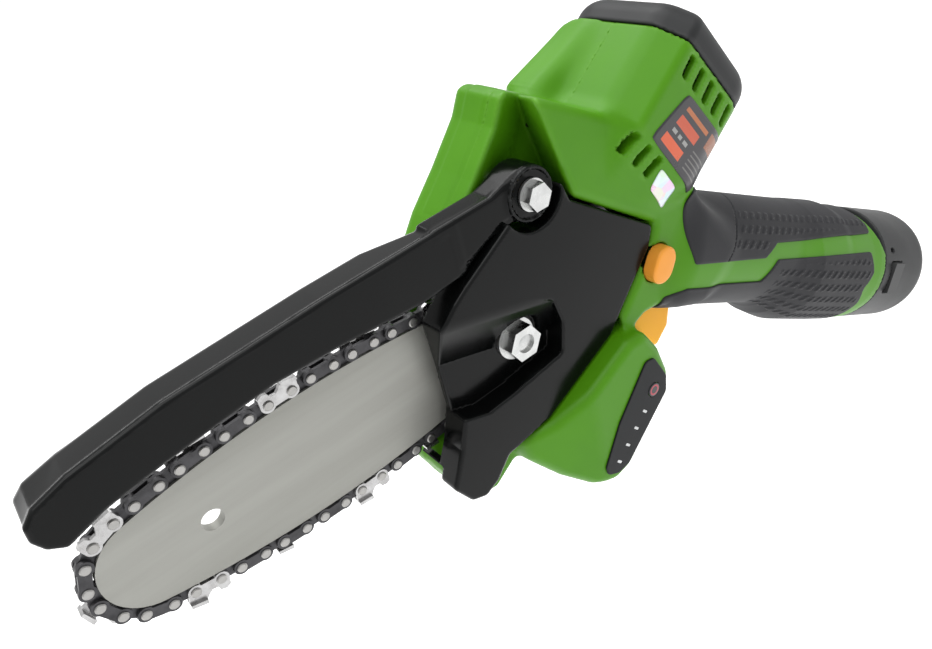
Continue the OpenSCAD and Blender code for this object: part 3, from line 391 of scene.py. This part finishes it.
LOBE_PLAN = [(99, -12.5), (126, -22.4), (175, -22.4), (175, 26.4), (126, 26.4), (99, 16.5)]
RAMP = [(177.8, 68.7), (148.3, 58.3), (152, 44), (183, 55)]
f_cover, f_case, f_upper, f_wing, f_lobe = (fillet(COVER, 2.2), fillet(CASE, 3.0), fillet(UPPER, 2.0), fillet(WING, 2.0),
                                            fillet(LOBE, 5.0))
f_plan, f_ramp = fillet(LOBE_PLAN, 12.0), fillet(RAMP, 4.0)


def plane(p, q, r, towards):
    p, q, r = np.array(p, float), np.array(q, float), np.array(r, float)
    n = np.cross(q - p, r - p)
    n /= np.linalg.norm(n)
    if n @ (np.array(towards, float) - p) < 0:
        n = -n
    return n, float(n @ p)


# the groove between the flat wing and the near face of the gear case
PL = plane((127.7, -3.2, 65.4), (119.1, -3.2, 52.8), (136.1, 0.0, 64.1), (126, -30, 60))
PR = plane((129.5, -15.5, 66.5), (134.6, -15.5, 45.0), (136.1, 0.0, 64.1), (118, -10, 56))


def side_of(pl, X, Y, Z):
    n, c = pl
    return n[0] * X + n[1] * Y + n[2] * Z - c


def barrel_section(V, W, half):
    v, w = V + 6.0, W
    r = np.where((v < 0) & (w < 0), 5.0, 14.5)
    qx, qy = np.abs(v) - half + r, np.abs(w) - half + r
    d = np.minimum(np.maximum(qx, qy), 0) + np.hypot(np.maximum(qx, 0), np.maximum(qy, 0)) - r
    ch = (-(V + half) * 14.0 - (W + half) * 8.5) / 16.38
    return smax(d, ch, 1.6)


def handle_r(a):
    return np.interp(a, [36, 41, 46, 53, 60, 64, 74, 90, 105.0, 110, 120], [8, 12.5, 16.5, 20.0, 21.8, 22.8, 23.3, 24.0, 24.4, 24.8, 24.8])


def handle_skin(X, Y, Z):
    a, x = handle(X, Z)
    w = Y - 2.0
    neck = rmax(np.hypot(x + 4.9, w) - 20.0, a - 88, 6.0)
    thick = (np.hypot(x, w) - handle_r(a)) * 0.93
    return smin(neck, thick, 4.0), a, x, w


def body(X, Y, Z):
    case = rmax(rmax(poly(f_case, X, Z), 3.5 - Y, 0.4), Y - 19.5, 5.0)
    up = poly(f_upper, X, Z)
    upper = rmax(rmax(up, -15.5 - Y, 3.0), Y - 12, 1.0)
    upper = smax(upper, side_of(PR, X, Y, Z), 1.6)
    wing = rmax(rmax(poly(f_wing, X, Z), -3.2 - Y, 1.6), Y - 12, 1.0)
    wing = smax(wing, side_of(PL, X, Y, Z), 1.6)
    d = smin(case, wing, 1.0)
    # raised rim of the case under the bar
    rim = rmax(rmax(poly(f_case, X, Z), -7.2 - Y, 1.2), Z + 27.5, 1.0)
    d = smin(d, np.maximum(rim, Y - 8), 0.8)
    d = smin(d, upper, 1.2)
    U, V = motor(X, Z)
    W = Y - 2.0
    half = np.clip(17.5 + (U - 38) * 0.5, 17.5, 24.0)
    half = 24.0 - np.sqrt(np.maximum(24.0 - half, 0) ** 2 + 0.4) + 0.63
    bar = rmax(barrel_section(V, W, half), 38 - U, 3.0)
    d = smin(d, bar, 5.0)
    ramp = rmax(rmax(poly(f_ramp, X, Z), 8 - Y, 5.0), Y - 25.4, 6.0)
    d = smin(d, ramp, 5.0)
    lobe = rmax(poly(f_lobe, X, Z), poly(f_plan, X, Y), 3.2)
    d = smin(d, lobe, 3.0)
    d = np.maximum(d, U - 77.0)
    hs, a, x, w = handle_skin(X, Y, Z)
    grip = np.maximum(rmax(hs, -22 - a, 8.0), a - 113.9)
    d = smin(d, grip, 9.0)
    d = np.maximum(d, a - 113.9)
    return d


def body_cut(X, Y, Z):
    """What is hollowed out of both halves."""
    U, V = motor(X, Z)
    W = Y - 2.0
    a, x = handle(X, Z)
    # air space round the motor and the slots that lead to it
    room = np.maximum(barrel_section(V, W, 21.4), 53 - U)
    c = np.maximum(room, 15.6 - np.hypot(V, W))
    tilt = V + 0.10 * (U - 72.5)
    for i, cv in enumerate((-18.7, -12.4, -6.2, 0.0, 6.2)):
        q = rmax(np.abs(tilt - cv) - 1.35, np.abs(U - 72.3) - 3.3, 0.9)
        c = np.minimum(c, q)
    for i, cv in enumerate((-21.6, -15.2, -8.8)):
        q = rmax(np.abs(V + 0.15 * (U - 45.7) - cv) - 1.35, np.abs(U - 45.7) - 3.1, 0.8)
        c = np.minimum(c, np.maximum(q, np.abs(W) - 40))
        c = np.maximum(c, -1e3)
    # handle: socket for the battery
    c = np.minimum(c, np.maximum(np.hypot(x, W) - np.where(a < 84, 21.6, 22.1), 62.5 - a))
    c = np.minimum(c, np.maximum(np.hypot(x, W) - 18, 54 - a))
    # slot that the trigger swings in
    trig = [(156.6, -9), (192, -9), (192, -60), (161.6, -60), (161.6, -31), (156.6, -18)]
    c = np.minimum(c, rmax(poly(trig, X, Z), np.abs(W) - 6.6, 1.0))
    # lock button, guard boss
    c = np.minimum(c, np.maximum(oval(X, Z, 4.95), Y + 10.5))
    c = np.minimum(c, np.maximum(cyl_y(X, Z, 124, 43, 10.5), Y + 3.2))
    # chain space and the room that the guard's rear end swings in
    c = np.minimum(c, np.maximum(np.maximum(60 - X, X - 103), np.maximum(Y - 6, 22 - Z)))
    c = np.minimum(c, np.maximum(poly([(60, -26), (100, -24), (132.6, -19.5), (143, -16.6), (150, -9), (152.2, 0), (150, 9), (143, 16.6),
                                       (132.6, 19.5), (100, 24.6), (60, 27)], X, Z), Y - 3.6))
    for px, pz, py in ((141, 53.5, 17), (117, -52, 17), (147, -22, 17), (180, 2, 17)):
        c = np.minimum(c, np.maximum(cyl_y(X, Z, px, pz, 3.2), py - Y))
    return c


def whole(X, Y, Z):
    return smax(body(X, Y, Z), -body_cut(X, Y, Z), 0.7)


def near_f(X, Y, Z):
    return np.maximum(whole(X, Y, Z), Y - 2.35)


def far_f(X, Y, Z):
    return np.maximum(whole(X, Y, Z), 1.65 - Y)


H = 0.9
housing_near = net("shell_near", near_f, (74, -24.5, -102), (296, 3, 92), H, whole)
housing_far = net("shell_far", far_f, (74, 1, -102), (296, 29, 92), H, whole)


def cap_f(X, Y, Z):
    U, V = motor(X, Z)
    W = Y - 2.0
    d = rmax(barrel_section(V, W, 23.9), U - 87.2, 7.0)
    d = rmax(d, 77.35 - U, 0.5)
    inner = np.maximum(np.maximum(barrel_section(V, W, 21), U - 84), -(U - 70))
    return np.maximum(d, -inner)


end_cap = net("end_cap_shell", cap_f, (160, -24, 20), (232, 28, 92), 0.8)

GUARD_TOP = [(-17, 30.5), (-16.6, 34), (-13.6, 37), (-5, 39.8), (18, 43.5), (60, 45.8), (95, 46.8), (112, 47)]
GUARD_LOW = [(98, 31.2), (85, 30.2), (60, 32.2), (42, 32.8), (30, 31.8), (12, 29.9), (-2, 27.8), (-11.9, 24.6), (-15.4, 27)]
HOOD = [p for p in GUARD_TOP if p[0] < 90] + [(100, 46.8), (100, 31.8)] + GUARD_LOW
ARM = GUARD_TOP + [(117, 48), (121, 48.6), (121, 40.4), (112, 38.6)] + GUARD_LOW
GIN = [(-12, 0), (-13.6, 32), (-12, 34.4), (-4.4, 37.6), (18, 41.3), (60, 43.6), (98, 44.6), (98, 0)]
f_hood, f_arm, f_gin = fillet(HOOD, 1.2), fillet(ARM, 1.5), fillet(GIN, 1.0)


f_rear = fillet([(92, 46.9), (112, 47.4), (119, 49.6), (124, 50.6), (124, 38), (116, 37.2), (108, 36.6), (96, 33)], 1.5)


def guard_f(X, Y, Z):
    # the top falls away a little towards the far side
    Zs = Z + 0.13 * np.clip(Y + 12.8, 0, 20) * np.clip((Z - 31) / 7, 0, 1)
    d2 = poly(f_hood, X, Zs)
    # the far side of the hood draws in towards the pivot
    lim = 5.0 - np.clip((X - 78) / 22, 0, 1) * 9.0
    hood = rmax(rmax(d2, -12.8 - Y, 0.9), (Y - lim) * 0.93, 5.0)
    cut = np.maximum(np.maximum(poly(f_gin, X, Zs), -10.8 - Y), Y - lim + 1.8)
    hood = np.maximum(hood, -cut)
    arm = rmax(rmax(poly(f_arm, X, Z), -12.8 - Y, 0.9), Y + 10.8, 0.5)
    rear = rmax(rmax(poly(f_rear, X, Z), -12.8 - Y, 0.9), Y + 4.0, 1.6)
    boss = rmax(rmax(cyl_y(X, Z, 124, 43, 7.9), -13.4 - Y, 0.7), Y + 4.0, 0.8)
    rim = rmax(np.abs(np.hypot(X - 124, Z - 43) - 7.3) - 0.5, np.abs(Y + 13.5) - 0.5, 0.3)
    rear = np.maximum(rear, -rmax(poly(f_gin, X, Z), X - 97.5, 0.5))
    d = smin(smin(hood, arm, 0.8), smin(rear, boss, 1.5), 0.8)
    d = np.minimum(d, rim)
    return np.maximum(d, -np.maximum(cyl_y(X, Z, 124, 43, 4.05), np.abs(Y + 8) - 20))


guard = net("guard_shell", guard_f, (-18, -15, 22), (133, 6, 52), 0.7)

WALLC = fillet([(84, 9), (82.5, 24), (90, 26), (119.6, 11.3), (123.8, 8.9), (125.7, 0.0), (123.6, -10.2), (102.9, -12.6), (93.7, -12.9),
                (84.9, -9.6), (80, -9)], 2.2)


def cover_f(X, Y, Z):
    p = poly(f_cover, X, Z)
    d = rmax(rmax(p, -15 - Y, 1.1), Y - 3.3, 0.3)
    dist = (X - 86.0) * -0.288 + (Z - 21.4) * -0.957
    floor = np.minimum(-15.0 + np.maximum(dist, -5) * 0.48, -8.2)
    rec = np.maximum(poly(WALLC, X, Z), (Y - floor) * 0.94)
    rec = np.minimum(rec, rmax(cyl_y(X, Z, 112.3, 0, 8.3), Y + 8.2, 0.3))
    d = smax(d, -rec, 0.9)
    inner = np.maximum(p + 2.2, -5.9 - Y)
    d = np.maximum(d, -inner)
    d = np.maximum(d, -np.maximum(np.maximum(60 - X, X - 92), np.maximum(np.abs(Y + 0.6) - 5.0, np.abs(Z) - 26.5)))
    d = smax(d, -cyl_y(X, Z, 124, 43, 10.3), 0.8)
    d = np.maximum(d, -np.maximum(poly([(92, 27), (140, 52), (140, 40), (130, 36), (105, 24)], X, Z), -3.5 - Y))
    d = np.maximum(d, -np.maximum(Z + 27.2, -7.6 - Y))
    boss = np.maximum(cyl_y(X, Z, 112.3, 0, 7.9), np.maximum(-6.2 - Y, Y + 1.7))
    d = np.minimum(d, boss)
    return np.maximum(d, -cyl_y(X, Z, 112.3, 0, 3.3))


cover = net("cover_shell", cover_f, (75, -15.5, -42), (168.5, 4, 49), 0.65)

# ---------- handle pads ----------
DEG = 0.42
UP_PAD = [(-12, 182), (-9, 173), (-27, 143), (-17, 102), (25.4, 108.4), (32.5, 123), (104.0, 135), (106, 149), (106.5, 160), (106.5, 182)]
LOW_PAD = [(-16, -2), (-26, 30), (-25, 66.6), (-16.2, 78.6), (28.7, 82.9), (34.3, 107.5), (100.5, 115.8), (104.1, 95.7), (100.4, 78.6),
           (104.5, 62), (104.5, -2)]
f_up = fillet([(a, p * DEG) for a, p in UP_PAD], 1.6)
f_low = fillet([(a, p * DEG) for a, p in LOW_PAD], 1.6)


def ridges(a, s, region):
    """Short slanted ribs in rows, raised on the gripping part of a pad."""
    row = np.cos(2 * np.pi * (s + 0.35 * a * 0.0) / 5.6)
    rib = np.cos(2 * np.pi * (a - 0.75 * s) / 4.4)
    h = np.clip((row + 0.35) * 1.6, 0, 1) * np.clip((rib + 0.15) * 1.5, 0, 1)
    return h * np.clip(-region / 1.5, 0, 1)


def pad_f(outline, tex):
    def f(X, Y, Z):
        h, a, x, w = handle_skin(X, Y, Z)
        phi = np.degrees(np.arctan2(np.abs(w), x))
        s = phi * DEG
        p = poly(outline, a, s)
        if tex == "up":
            reg = np.maximum(np.maximum(p + 2.0, (15 - (174 - phi) * 0.2125) + 1.5 - a), (phi - 152) * DEG)
            seam = np.abs(a - (15 - (174 - phi) * 0.2125)) - 0.45
        else:
            reg = np.maximum(np.maximum(p + 2.4, 38 - a), (30 - phi) * DEG)
            seam = 99.0 + 0 * a
        lift = 0.7 + 0.4 * ridges(a, s, reg) - 0.45 * np.clip(-seam / 0.3, 0, 1)
        b = body(X, Y, Z)
        d = rmax(b - lift, p, 0.5)
        d = np.maximum(d, h - 9.0)
        return np.maximum(d, -(b + 1.1))
    return f


GH = 0.6
pad_up = net("pads_upper", pad_f(f_up, "up"), (158, -25, -66), (294, 29, 20), GH)
pad_low = net("pads_lower", pad_f(f_low, "low"), (146, -25, -102), (294, 29, 10), GH)


# ---------- battery cap ----------
def batt_f(X, Y, Z):
    a, x = handle(X, Z)
    w = Y - 2.0
    rad = np.hypot(x, w)
    d = rmax(rad - 24.7, a - 161.8, 13.0)
    d = rmax(d, 114.35 - a, 0.5)
    ph = np.degrees(np.arctan2(np.abs(w), x))
    win = np.maximum(np.maximum(np.abs(x) - 7, np.abs(a - 125.1) - 4.5), 19 - np.abs(w))
    d = smax(d, -win, 0.4)
    slot = rmax(np.abs(ph - 118) * DEG - 0.9, np.abs(a - 121.4) - 1.5, 0.5)
    slot = np.maximum(slot, 21.6 - rad)
    d = np.maximum(d, -slot)
    return np.maximum(d, -np.maximum(rad - 20.4, a - 150))


battery = net("battery_shell", batt_f, (270, -24, -127), (348, 28, -46), 0.8)

TRIG = fillet([(160, -12.6), (172, -10.8), (176.5, -17), (184.2, -28), (184.2, -32.5), (182, -40.5), (175.2, -46.2), (172.4, -44.6),
               (167.8, -37.6), (164.2, -29.7), (160.6, -22.5), (158.6, -16.5)], 1.6)


def trig_f(X, Y, Z):
    d = rmax(poly(TRIG, X, Z), np.abs(Y - 2) - 5.9, 2.6)
    return np.maximum(d, -cyl_y(X, Z, 169.5, -14.6, 2.05))


trigger = net("trigger_lever_skin", trig_f, (158, -5, -47), (185, 9, -10), 0.6)


def lock_f(X, Y, Z):
    d = rmax(rmax(oval(X, Z, 4.6), -19.4 - Y, 1.1), Y + 14.3, 0.2)
    dome = np.sqrt((X - 166.6) ** 2 + (Z + 1.4) ** 2 + (Y - 9.0) ** 2) - 28.6
    d = smax(d, dome, 0.8)
    return np.minimum(d, rmax(cyl_y(X, Z, 166.6, -1.4, 2.4), np.abs(Y + 12) - 2.5, 0.2))


lock = net("lock_button_skin", lock_f, (160, -20.5, -9), (173, -9, 6), 0.45)


# ---------- trim that lies on the shell ----------
def conform(name, pts_xz, nu, nv, thick=0.22, sink=0.25, corner=None):
    """A thin closed sheet on the near side of the shell; pts_xz(s, t) gives X, Z for s, t in 0..1."""
    s, t = np.meshgrid(np.linspace(0, 1, nu), np.linspace(0, 1, nv), indexing="ij")
    s, t = s.ravel(), t.ravel()
    X, Z = pts_xz(s, t)
    Y = np.full(X.shape, -34.0)
    for _ in range(70):
        Y = Y + np.clip(body(X, Y, Z), -2, 2) * 0.8
    P = np.stack([X, Y, Z], 1)
    g = np.zeros_like(P)
    for i in range(3):
        d = np.zeros(3)
        d[i] = 0.3
        A, B = P + d, P - d
        g[:, i] = body(A[:, 0], A[:, 1], A[:, 2]) - body(B[:, 0], B[:, 1], B[:, 2])
    g /= np.linalg.norm(g, axis=1, keepdims=True)
    top, bot = P + g * thick, P - g * sink
    V = np.concatenate([top, bot])
    n = len(P)
    F = []
    def idx(i, j):
        return i * nv + j
    for i in range(nu - 1):
        for j in range(nv - 1):
            q = [idx(i, j), idx(i + 1, j), idx(i + 1, j + 1), idx(i, j + 1)]
            F.append(q)
            F.append([k + n for k in q[::-1]])
    for i in range(nu - 1):
        F.append([idx(i + 1, 0), idx(i, 0), idx(i, 0) + n, idx(i + 1, 0) + n])
        F.append([idx(i, nv - 1), idx(i + 1, nv - 1), idx(i + 1, nv - 1) + n, idx(i, nv - 1) + n])
    for j in range(nv - 1):
        F.append([idx(0, j), idx(0, j + 1), idx(0, j + 1) + n, idx(0, j) + n])
        F.append([idx(nu - 1, j + 1), idx(nu - 1, j), idx(nu - 1, j) + n, idx(nu - 1, j + 1) + n])
    F = np.array(F)
    a, b, c = V[F[0, 0]], V[F[0, 1]], V[F[0, 2]]
    if np.cross(b - a, c - a) @ g[0] < 0:
        F = F[:, ::-1]
    ob = solid(name, V, F)
    uv = ob.data.uv_layers.new(name="UVMap")
    ss, tt = np.concatenate([s, s]), np.concatenate([t, t])
    li = np.zeros(len(ob.data.loops), np.int32)
    ob.data.loops.foreach_get("vertex_index", li)
    uv.data.foreach_set("uv", np.stack([ss[li], tt[li]], 1).astype(np.float32).ravel())
    return ob


def squircle(s, t, amount=0.04):
    """Rounds the corners of the unit square."""
    x, y = 2 * s - 1, 2 * t - 1
    return 0.5 + 0.5 * x * (1 - amount * y ** 8), 0.5 + 0.5 * y * (1 - amount * x ** 8)


def label_xz(s, t):
    s, t = squircle(s, t)
    u0, u1 = 50.2 - 2.0 * t, 67.2 - 0.6 * t
    v0, v1 = -18.6 + 5.0 * s, 14.0
    return motor_xz(u0 + (u1 - u0) * s, v0 + (v1 - v0) * t)


label = conform("data_label", label_xz, 30, 36)


def foil_xz(s, t):
    s, t = squircle(s, t, 0.08)
    c = ((163.9, 26.3), (167.0, 32.6), (172.8, 23.2), (170.2, 16.3))
    return tuple(c[0][i] * (1 - s) * (1 - t) + c[1][i] * s * (1 - t) + c[2][i] * s * t + c[3][i] * (1 - s) * t for i in (0, 1))


sticker = conform("foil_patch", foil_xz, 16, 18)

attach(label, "frame")
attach(sticker, "frame")


def uv_boxes(name, base, boxes, rough=0.4, noise=None):
    """A printed sheet: plain blocks at set places on the sheet's own coordinates."""
    m, nt, b, colour = material(name, base, tuple(c * 1.25 for c in base), rough=rough, grain=1500, bump=0.2, bump_mm=0.02, blotch=120)
    N, L = nt.nodes.new, nt.links.new
    tc = N("ShaderNodeUVMap")
    sp = N("ShaderNodeSeparateXYZ")
    L(tc.outputs["UV"], sp.inputs["Vector"])
    def inside(sock, lo, hi):
        a = N("ShaderNodeMath"); a.operation = "GREATER_THAN"; a.inputs[1].default_value = lo
        c = N("ShaderNodeMath"); c.operation = "LESS_THAN"; c.inputs[1].default_value = hi
        p = N("ShaderNodeMath"); p.operation = "MULTIPLY"
        L(sock, a.inputs[0]); L(sock, c.inputs[0]); L(a.outputs[0], p.inputs[0]); L(c.outputs[0], p.inputs[1])
        return p.outputs[0]
    for (x0, x1, y0, y1, col) in boxes:
        p = N("ShaderNodeMath"); p.operation = "MULTIPLY"
        L(inside(sp.outputs["X"], x0, x1), p.inputs[0])
        L(inside(sp.outputs["Y"], y0, y1), p.inputs[1])
        mx = N("ShaderNodeMix"); mx.data_type = "RGBA"
        mx.inputs["B"].default_value = (*col, 1)
        L(p.outputs[0], mx.inputs["Factor"]); L(colour, mx.inputs["A"])
        colour = mx.outputs["Result"]
    L(colour, b.inputs["Base Color"])
    return m


o, gy, br = lin(214, 92, 52), lin(150, 150, 148), lin(150, 96, 70)
boxes = [(0.10, 0.28, 0.10, 0.46, o), (0.50, 0.68, 0.12, 0.52, lin(196, 84, 54)), (0.78, 0.86, 0.12, 0.60, lin(178, 104, 60)),
         (0.62, 0.90, 0.66, 0.90, br), (0.36, 0.43, 0.14, 0.22, gy), (0.36, 0.43, 0.26, 0.32, gy), (0.36, 0.43, 0.36, 0.44, gy)]
for i in range(5):
    boxes.append((0.10 + i * 0.08, 0.125 + i * 0.08, 0.56, 0.86 - 0.05 * (i % 2), lin(108, 106, 104)))
LABEL = uv_boxes("label_print", lin(50, 48, 52), boxes, rough=0.35)
label.data.materials.append(LABEL)

# silver foil; the fixed mosaic of tints over it is a painted iridescent sheen
FOIL, nt, b, colour = material("foil_silver", lin(205, 222, 216), lin(226, 214, 232), rough=0.22, rough_var=0.08, grain=900, bump=0.3,
                               blotch=190, metal=0.35)
vor = nt.nodes.new("ShaderNodeTexVoronoi")
vor.inputs["Scale"].default_value = 260
tcn = nt.nodes.new("ShaderNodeTexCoord")
nt.links.new(tcn.outputs["Object"], vor.inputs["Vector"])
hs = nt.nodes.new("ShaderNodeMix")
hs.data_type = "RGBA"
hs.blend_type = "SOFT_LIGHT"
hs.inputs["Factor"].default_value = 0.55
nt.links.new(colour, hs.inputs["A"])
nt.links.new(vor.outputs["Color"], hs.inputs["B"])
nt.links.new(hs.outputs["Result"], b.inputs["Base Color"])
sticker.data.materials.append(FOIL)


# power key with a generic ring mark
def disc(name, cx, cz, y0, y1, r, n=48):
    rings = [(0.0, y0), (r * 0.55, y0), (r * 0.94, y0), (r, y0 + 0.08), (r, y1), (0.0, y1)]
    V, F = [], []
    V.append((cx, y0, cz))
    for rr, y in rings[1:5]:
        for k in range(n):
            an = 2 * math.pi * k / n
            V.append((cx + rr * math.cos(an), y, cz + rr * math.sin(an)))
    V.append((cx, y1, cz))
    tri = []
    for k in range(n):
        k2 = (k + 1) % n
        tri.append((0, 1 + k, 1 + k2))
        for q in range(3):
            a, b2 = 1 + q * n, 1 + (q + 1) * n
            tri.append((a + k, b2 + k, b2 + k2))
            tri.append((a + k, b2 + k2, a + k2))
        tri.append((1 + 3 * n + k, len(V) - 1, 1 + 3 * n + k2))
    ob = solid(name, np.array(V), np.array(tri))
    uv = ob.data.uv_layers.new(name="UVMap")
    co = np.array(V)
    li = np.zeros(len(ob.data.loops), np.int32)
    ob.data.loops.foreach_get("vertex_index", li)
    U = np.stack([(co[:, 0] - cx) / (2 * r) + 0.5, (co[:, 2] - cz) / (2 * r) + 0.5], 1)
    uv.data.foreach_set("uv", U[li].astype(np.float32).ravel())
    ob.data.set_sharp_from_angle(angle=math.radians(40))
    return ob


key = disc("power_key_face", 151.5, -40, -23.25, -22.8, 2.4)
KEY, nt, b, colour = material("power_key_print", lin(50, 50, 53), lin(58, 58, 60), rough=0.4)
N, L = nt.nodes.new, nt.links.new
uvn = N("ShaderNodeUVMap")
sub = N("ShaderNodeVectorMath"); sub.operation = "SUBTRACT"; sub.inputs[1].default_value = (0.5, 0.5, 0)
L(uvn.outputs["UV"], sub.inputs[0])
ln = N("ShaderNodeVectorMath"); ln.operation = "LENGTH"
L(sub.outputs["Vector"], ln.inputs[0])
dd = N("ShaderNodeMath"); dd.operation = "SUBTRACT"; dd.inputs[1].default_value = 0.34
L(ln.outputs["Value"], dd.inputs[0])
ab = N("ShaderNodeMath"); ab.operation = "ABSOLUTE"
L(dd.outputs[0], ab.inputs[0])
lt = N("ShaderNodeMath"); lt.operation = "LESS_THAN"; lt.inputs[1].default_value = 0.065
L(ab.outputs[0], lt.inputs[0])
mx = N("ShaderNodeMix"); mx.data_type = "RGBA"
mx.inputs["B"].default_value = (*lin(176, 58, 74), 1)
L(lt.outputs[0], mx.inputs["Factor"])
L(colour, mx.inputs["A"])
L(mx.outputs["Result"], b.inputs["Base Color"])
key.data.materials.append(KEY)
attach(key, "power_key")
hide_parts("power_button")

# indicator panel with rounded corners and openings for the lights
PANEL_PTS = fillet([(149.5, -27), (153.4, -27.8), (158, -38), (157.2, -44.4), (136.5, -62), (131.4, -62.8), (126.6, -60.2), (126.2, -56.6),
                    (134.8, -43)], 2.6)


def panel_f(X, Y, Z):
    d = rmax(poly(PANEL_PTS, X, Z), np.abs(Y + 22.7) - 0.3, 0.22)
    d = np.maximum(d, 2.6 - np.hypot(X - 151.5, Z + 40))
    c, q = math.cos(math.radians(41)), math.sin(math.radians(41))
    for i in range(4):
        ex, ez = X - (146.4 - i * 4.7), Z - (-46 - i * 4.1)
        lx, lz = ex * c + ez * q, -ex * q + ez * c
        d = np.maximum(d, -rmax(np.abs(lx) - 0.45, np.abs(lz) - 1.2, 0.2))
    return d


panel = net("indicator_panel_skin", panel_f, (125, -23.4, -64), (159, -22, -26), 0.34)

for ob, mat, bod, nodes, slot in (
    (panel, PANEL, "frame", ("indicator_panel",), "panel_plastic"),
    (housing_near, GREEN, "frame", ("housing_near",), "green_plastic"),
    (housing_far, GREEN, "frame", ("housing_far",), "green_plastic"),
    (end_cap, CAP, "frame", ("motor_end_cap",), "dark_cap"),
    (cover, GLOSS, "frame", ("side_cover",), "black_plastic"),
    (guard, GLOSS, "guard", ("chain_guard",), "black_plastic"),
    (pad_up, GRIP, "frame", ("upper_grips",), "grip_rubber"),
    (pad_low, GRIP, "frame", ("lower_grips",), "grip_rubber"),
    (battery, CAP, "battery", ("battery_cap",), "battery_plastic"),
    (trigger, ORANGE, "trigger_lever", ("trigger",), "trigger_orange"),
    (lock, LOCK, "lock_key", ("lock_button",), "lock_orange"),
):
    ob.data.materials.append(mat)
    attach(ob, bod)
    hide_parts(*nodes)
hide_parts("rating_label")
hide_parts("foil_sticker")

# ---------- room ----------
low = cad_box[0][2] if np.ndim(cad_box[0]) else cad_box[2]
fl = bpy.data.meshes.new("floor")
fz = -0.30
fl.from_pydata([(-9, -9, fz), (9, -9, fz), (9, 9, fz), (-9, 9, fz)], [], [(0, 1, 2, 3)])
floor = bpy.data.objects.new("floor", fl)
bpy.context.scene.collection.objects.link(floor)
floor.data.materials.append(material("floor_paint", (0.93, 0.93, 0.93), (0.95, 0.95, 0.95), rough=0.9, grain=60, bump=0.02,
                               emit=((1.0, 1.0, 1.0), 0.3))[0])
floor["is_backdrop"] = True

w = bpy.data.worlds.new("studio")
bpy.context.scene.world = w
w.use_nodes = True
bg = w.node_tree.nodes["Background"]
bg.inputs["Strength"].default_value = 0.95
# paler overhead than at the sides, as under a ceiling of soft boxes
wt = w.node_tree.nodes.new("ShaderNodeTexCoord")
wx = w.node_tree.nodes.new("ShaderNodeSeparateXYZ")
wr = w.node_tree.nodes.new("ShaderNodeValToRGB")
w.node_tree.links.new(wt.outputs["Generated"], wx.inputs["Vector"])
w.node_tree.links.new(wx.outputs["Z"], wr.inputs["Fac"])
wr.color_ramp.elements[0].position = 0.0
wr.color_ramp.elements[0].color = (0.68, 0.68, 0.68, 1)
wr.color_ramp.elements[1].position = 0.75
wr.color_ramp.elements[1].color = (0.74, 0.74, 0.74, 1)
w.node_tree.links.new(wr.outputs["Color"], bg.inputs["Color"])


def area(name, loc, target, size, power):
    li = bpy.data.lights.new(name, "AREA")
    li.shape = "RECTANGLE"
    li.size, li.size_y = size
    li.energy = power
    ob = bpy.data.objects.new(name, li)
    ob.location = loc
    ob.rotation_euler = (Vector(target) - Vector(loc)).to_track_quat("-Z", "Y").to_euler()
    bpy.context.scene.collection.objects.link(ob)
    return ob


T = (-0.05, 0.0, 0.0)
area("key_light", (-0.5, -0.35, 1.25), T, (0.9, 0.7), 2.5)
area("back_light", (0.25, 0.95, 1.15), T, (1.3, 0.35), 5)
area("floor_light", (-0.3, 0.9, 2.4), (-0.3, 1.2, -0.3), (3.0, 3.0), 60)

cam = bpy.data.cameras.new("camera")
co = bpy.data.objects.new("camera", cam)
bpy.context.scene.collection.objects.link(co)
cam.sensor_width = 36.0
cam.lens = 31.31
cam.clip_start = 0.01
right = Vector((0.76505, -0.60681, -0.21558))
up = -Vector((-0.49421, -0.33863, -0.80068))
back = -Vector((0.41286, 0.71910, -0.55896))
mw = Matrix.Identity(4)
for i in range(3):
    mw[i][0], mw[i][1], mw[i][2] = right[i], up[i], back[i]
mw[0][3], mw[1][3], mw[2][3] = -0.23524, -0.1719, 0.1861
co.matrix_world = mw
bpy.context.scene.camera = co
bpy.context.scene.view_settings.view_transform = "Standard"


def plain(v):
    if isinstance(v, dict):
        return {k: plain(x) for k, x in v.items()}
    try:
        return [plain(x) for x in v]
    except TypeError:
        return float(v)


{"cad": plain(cad_box), "visual": plain(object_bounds())}
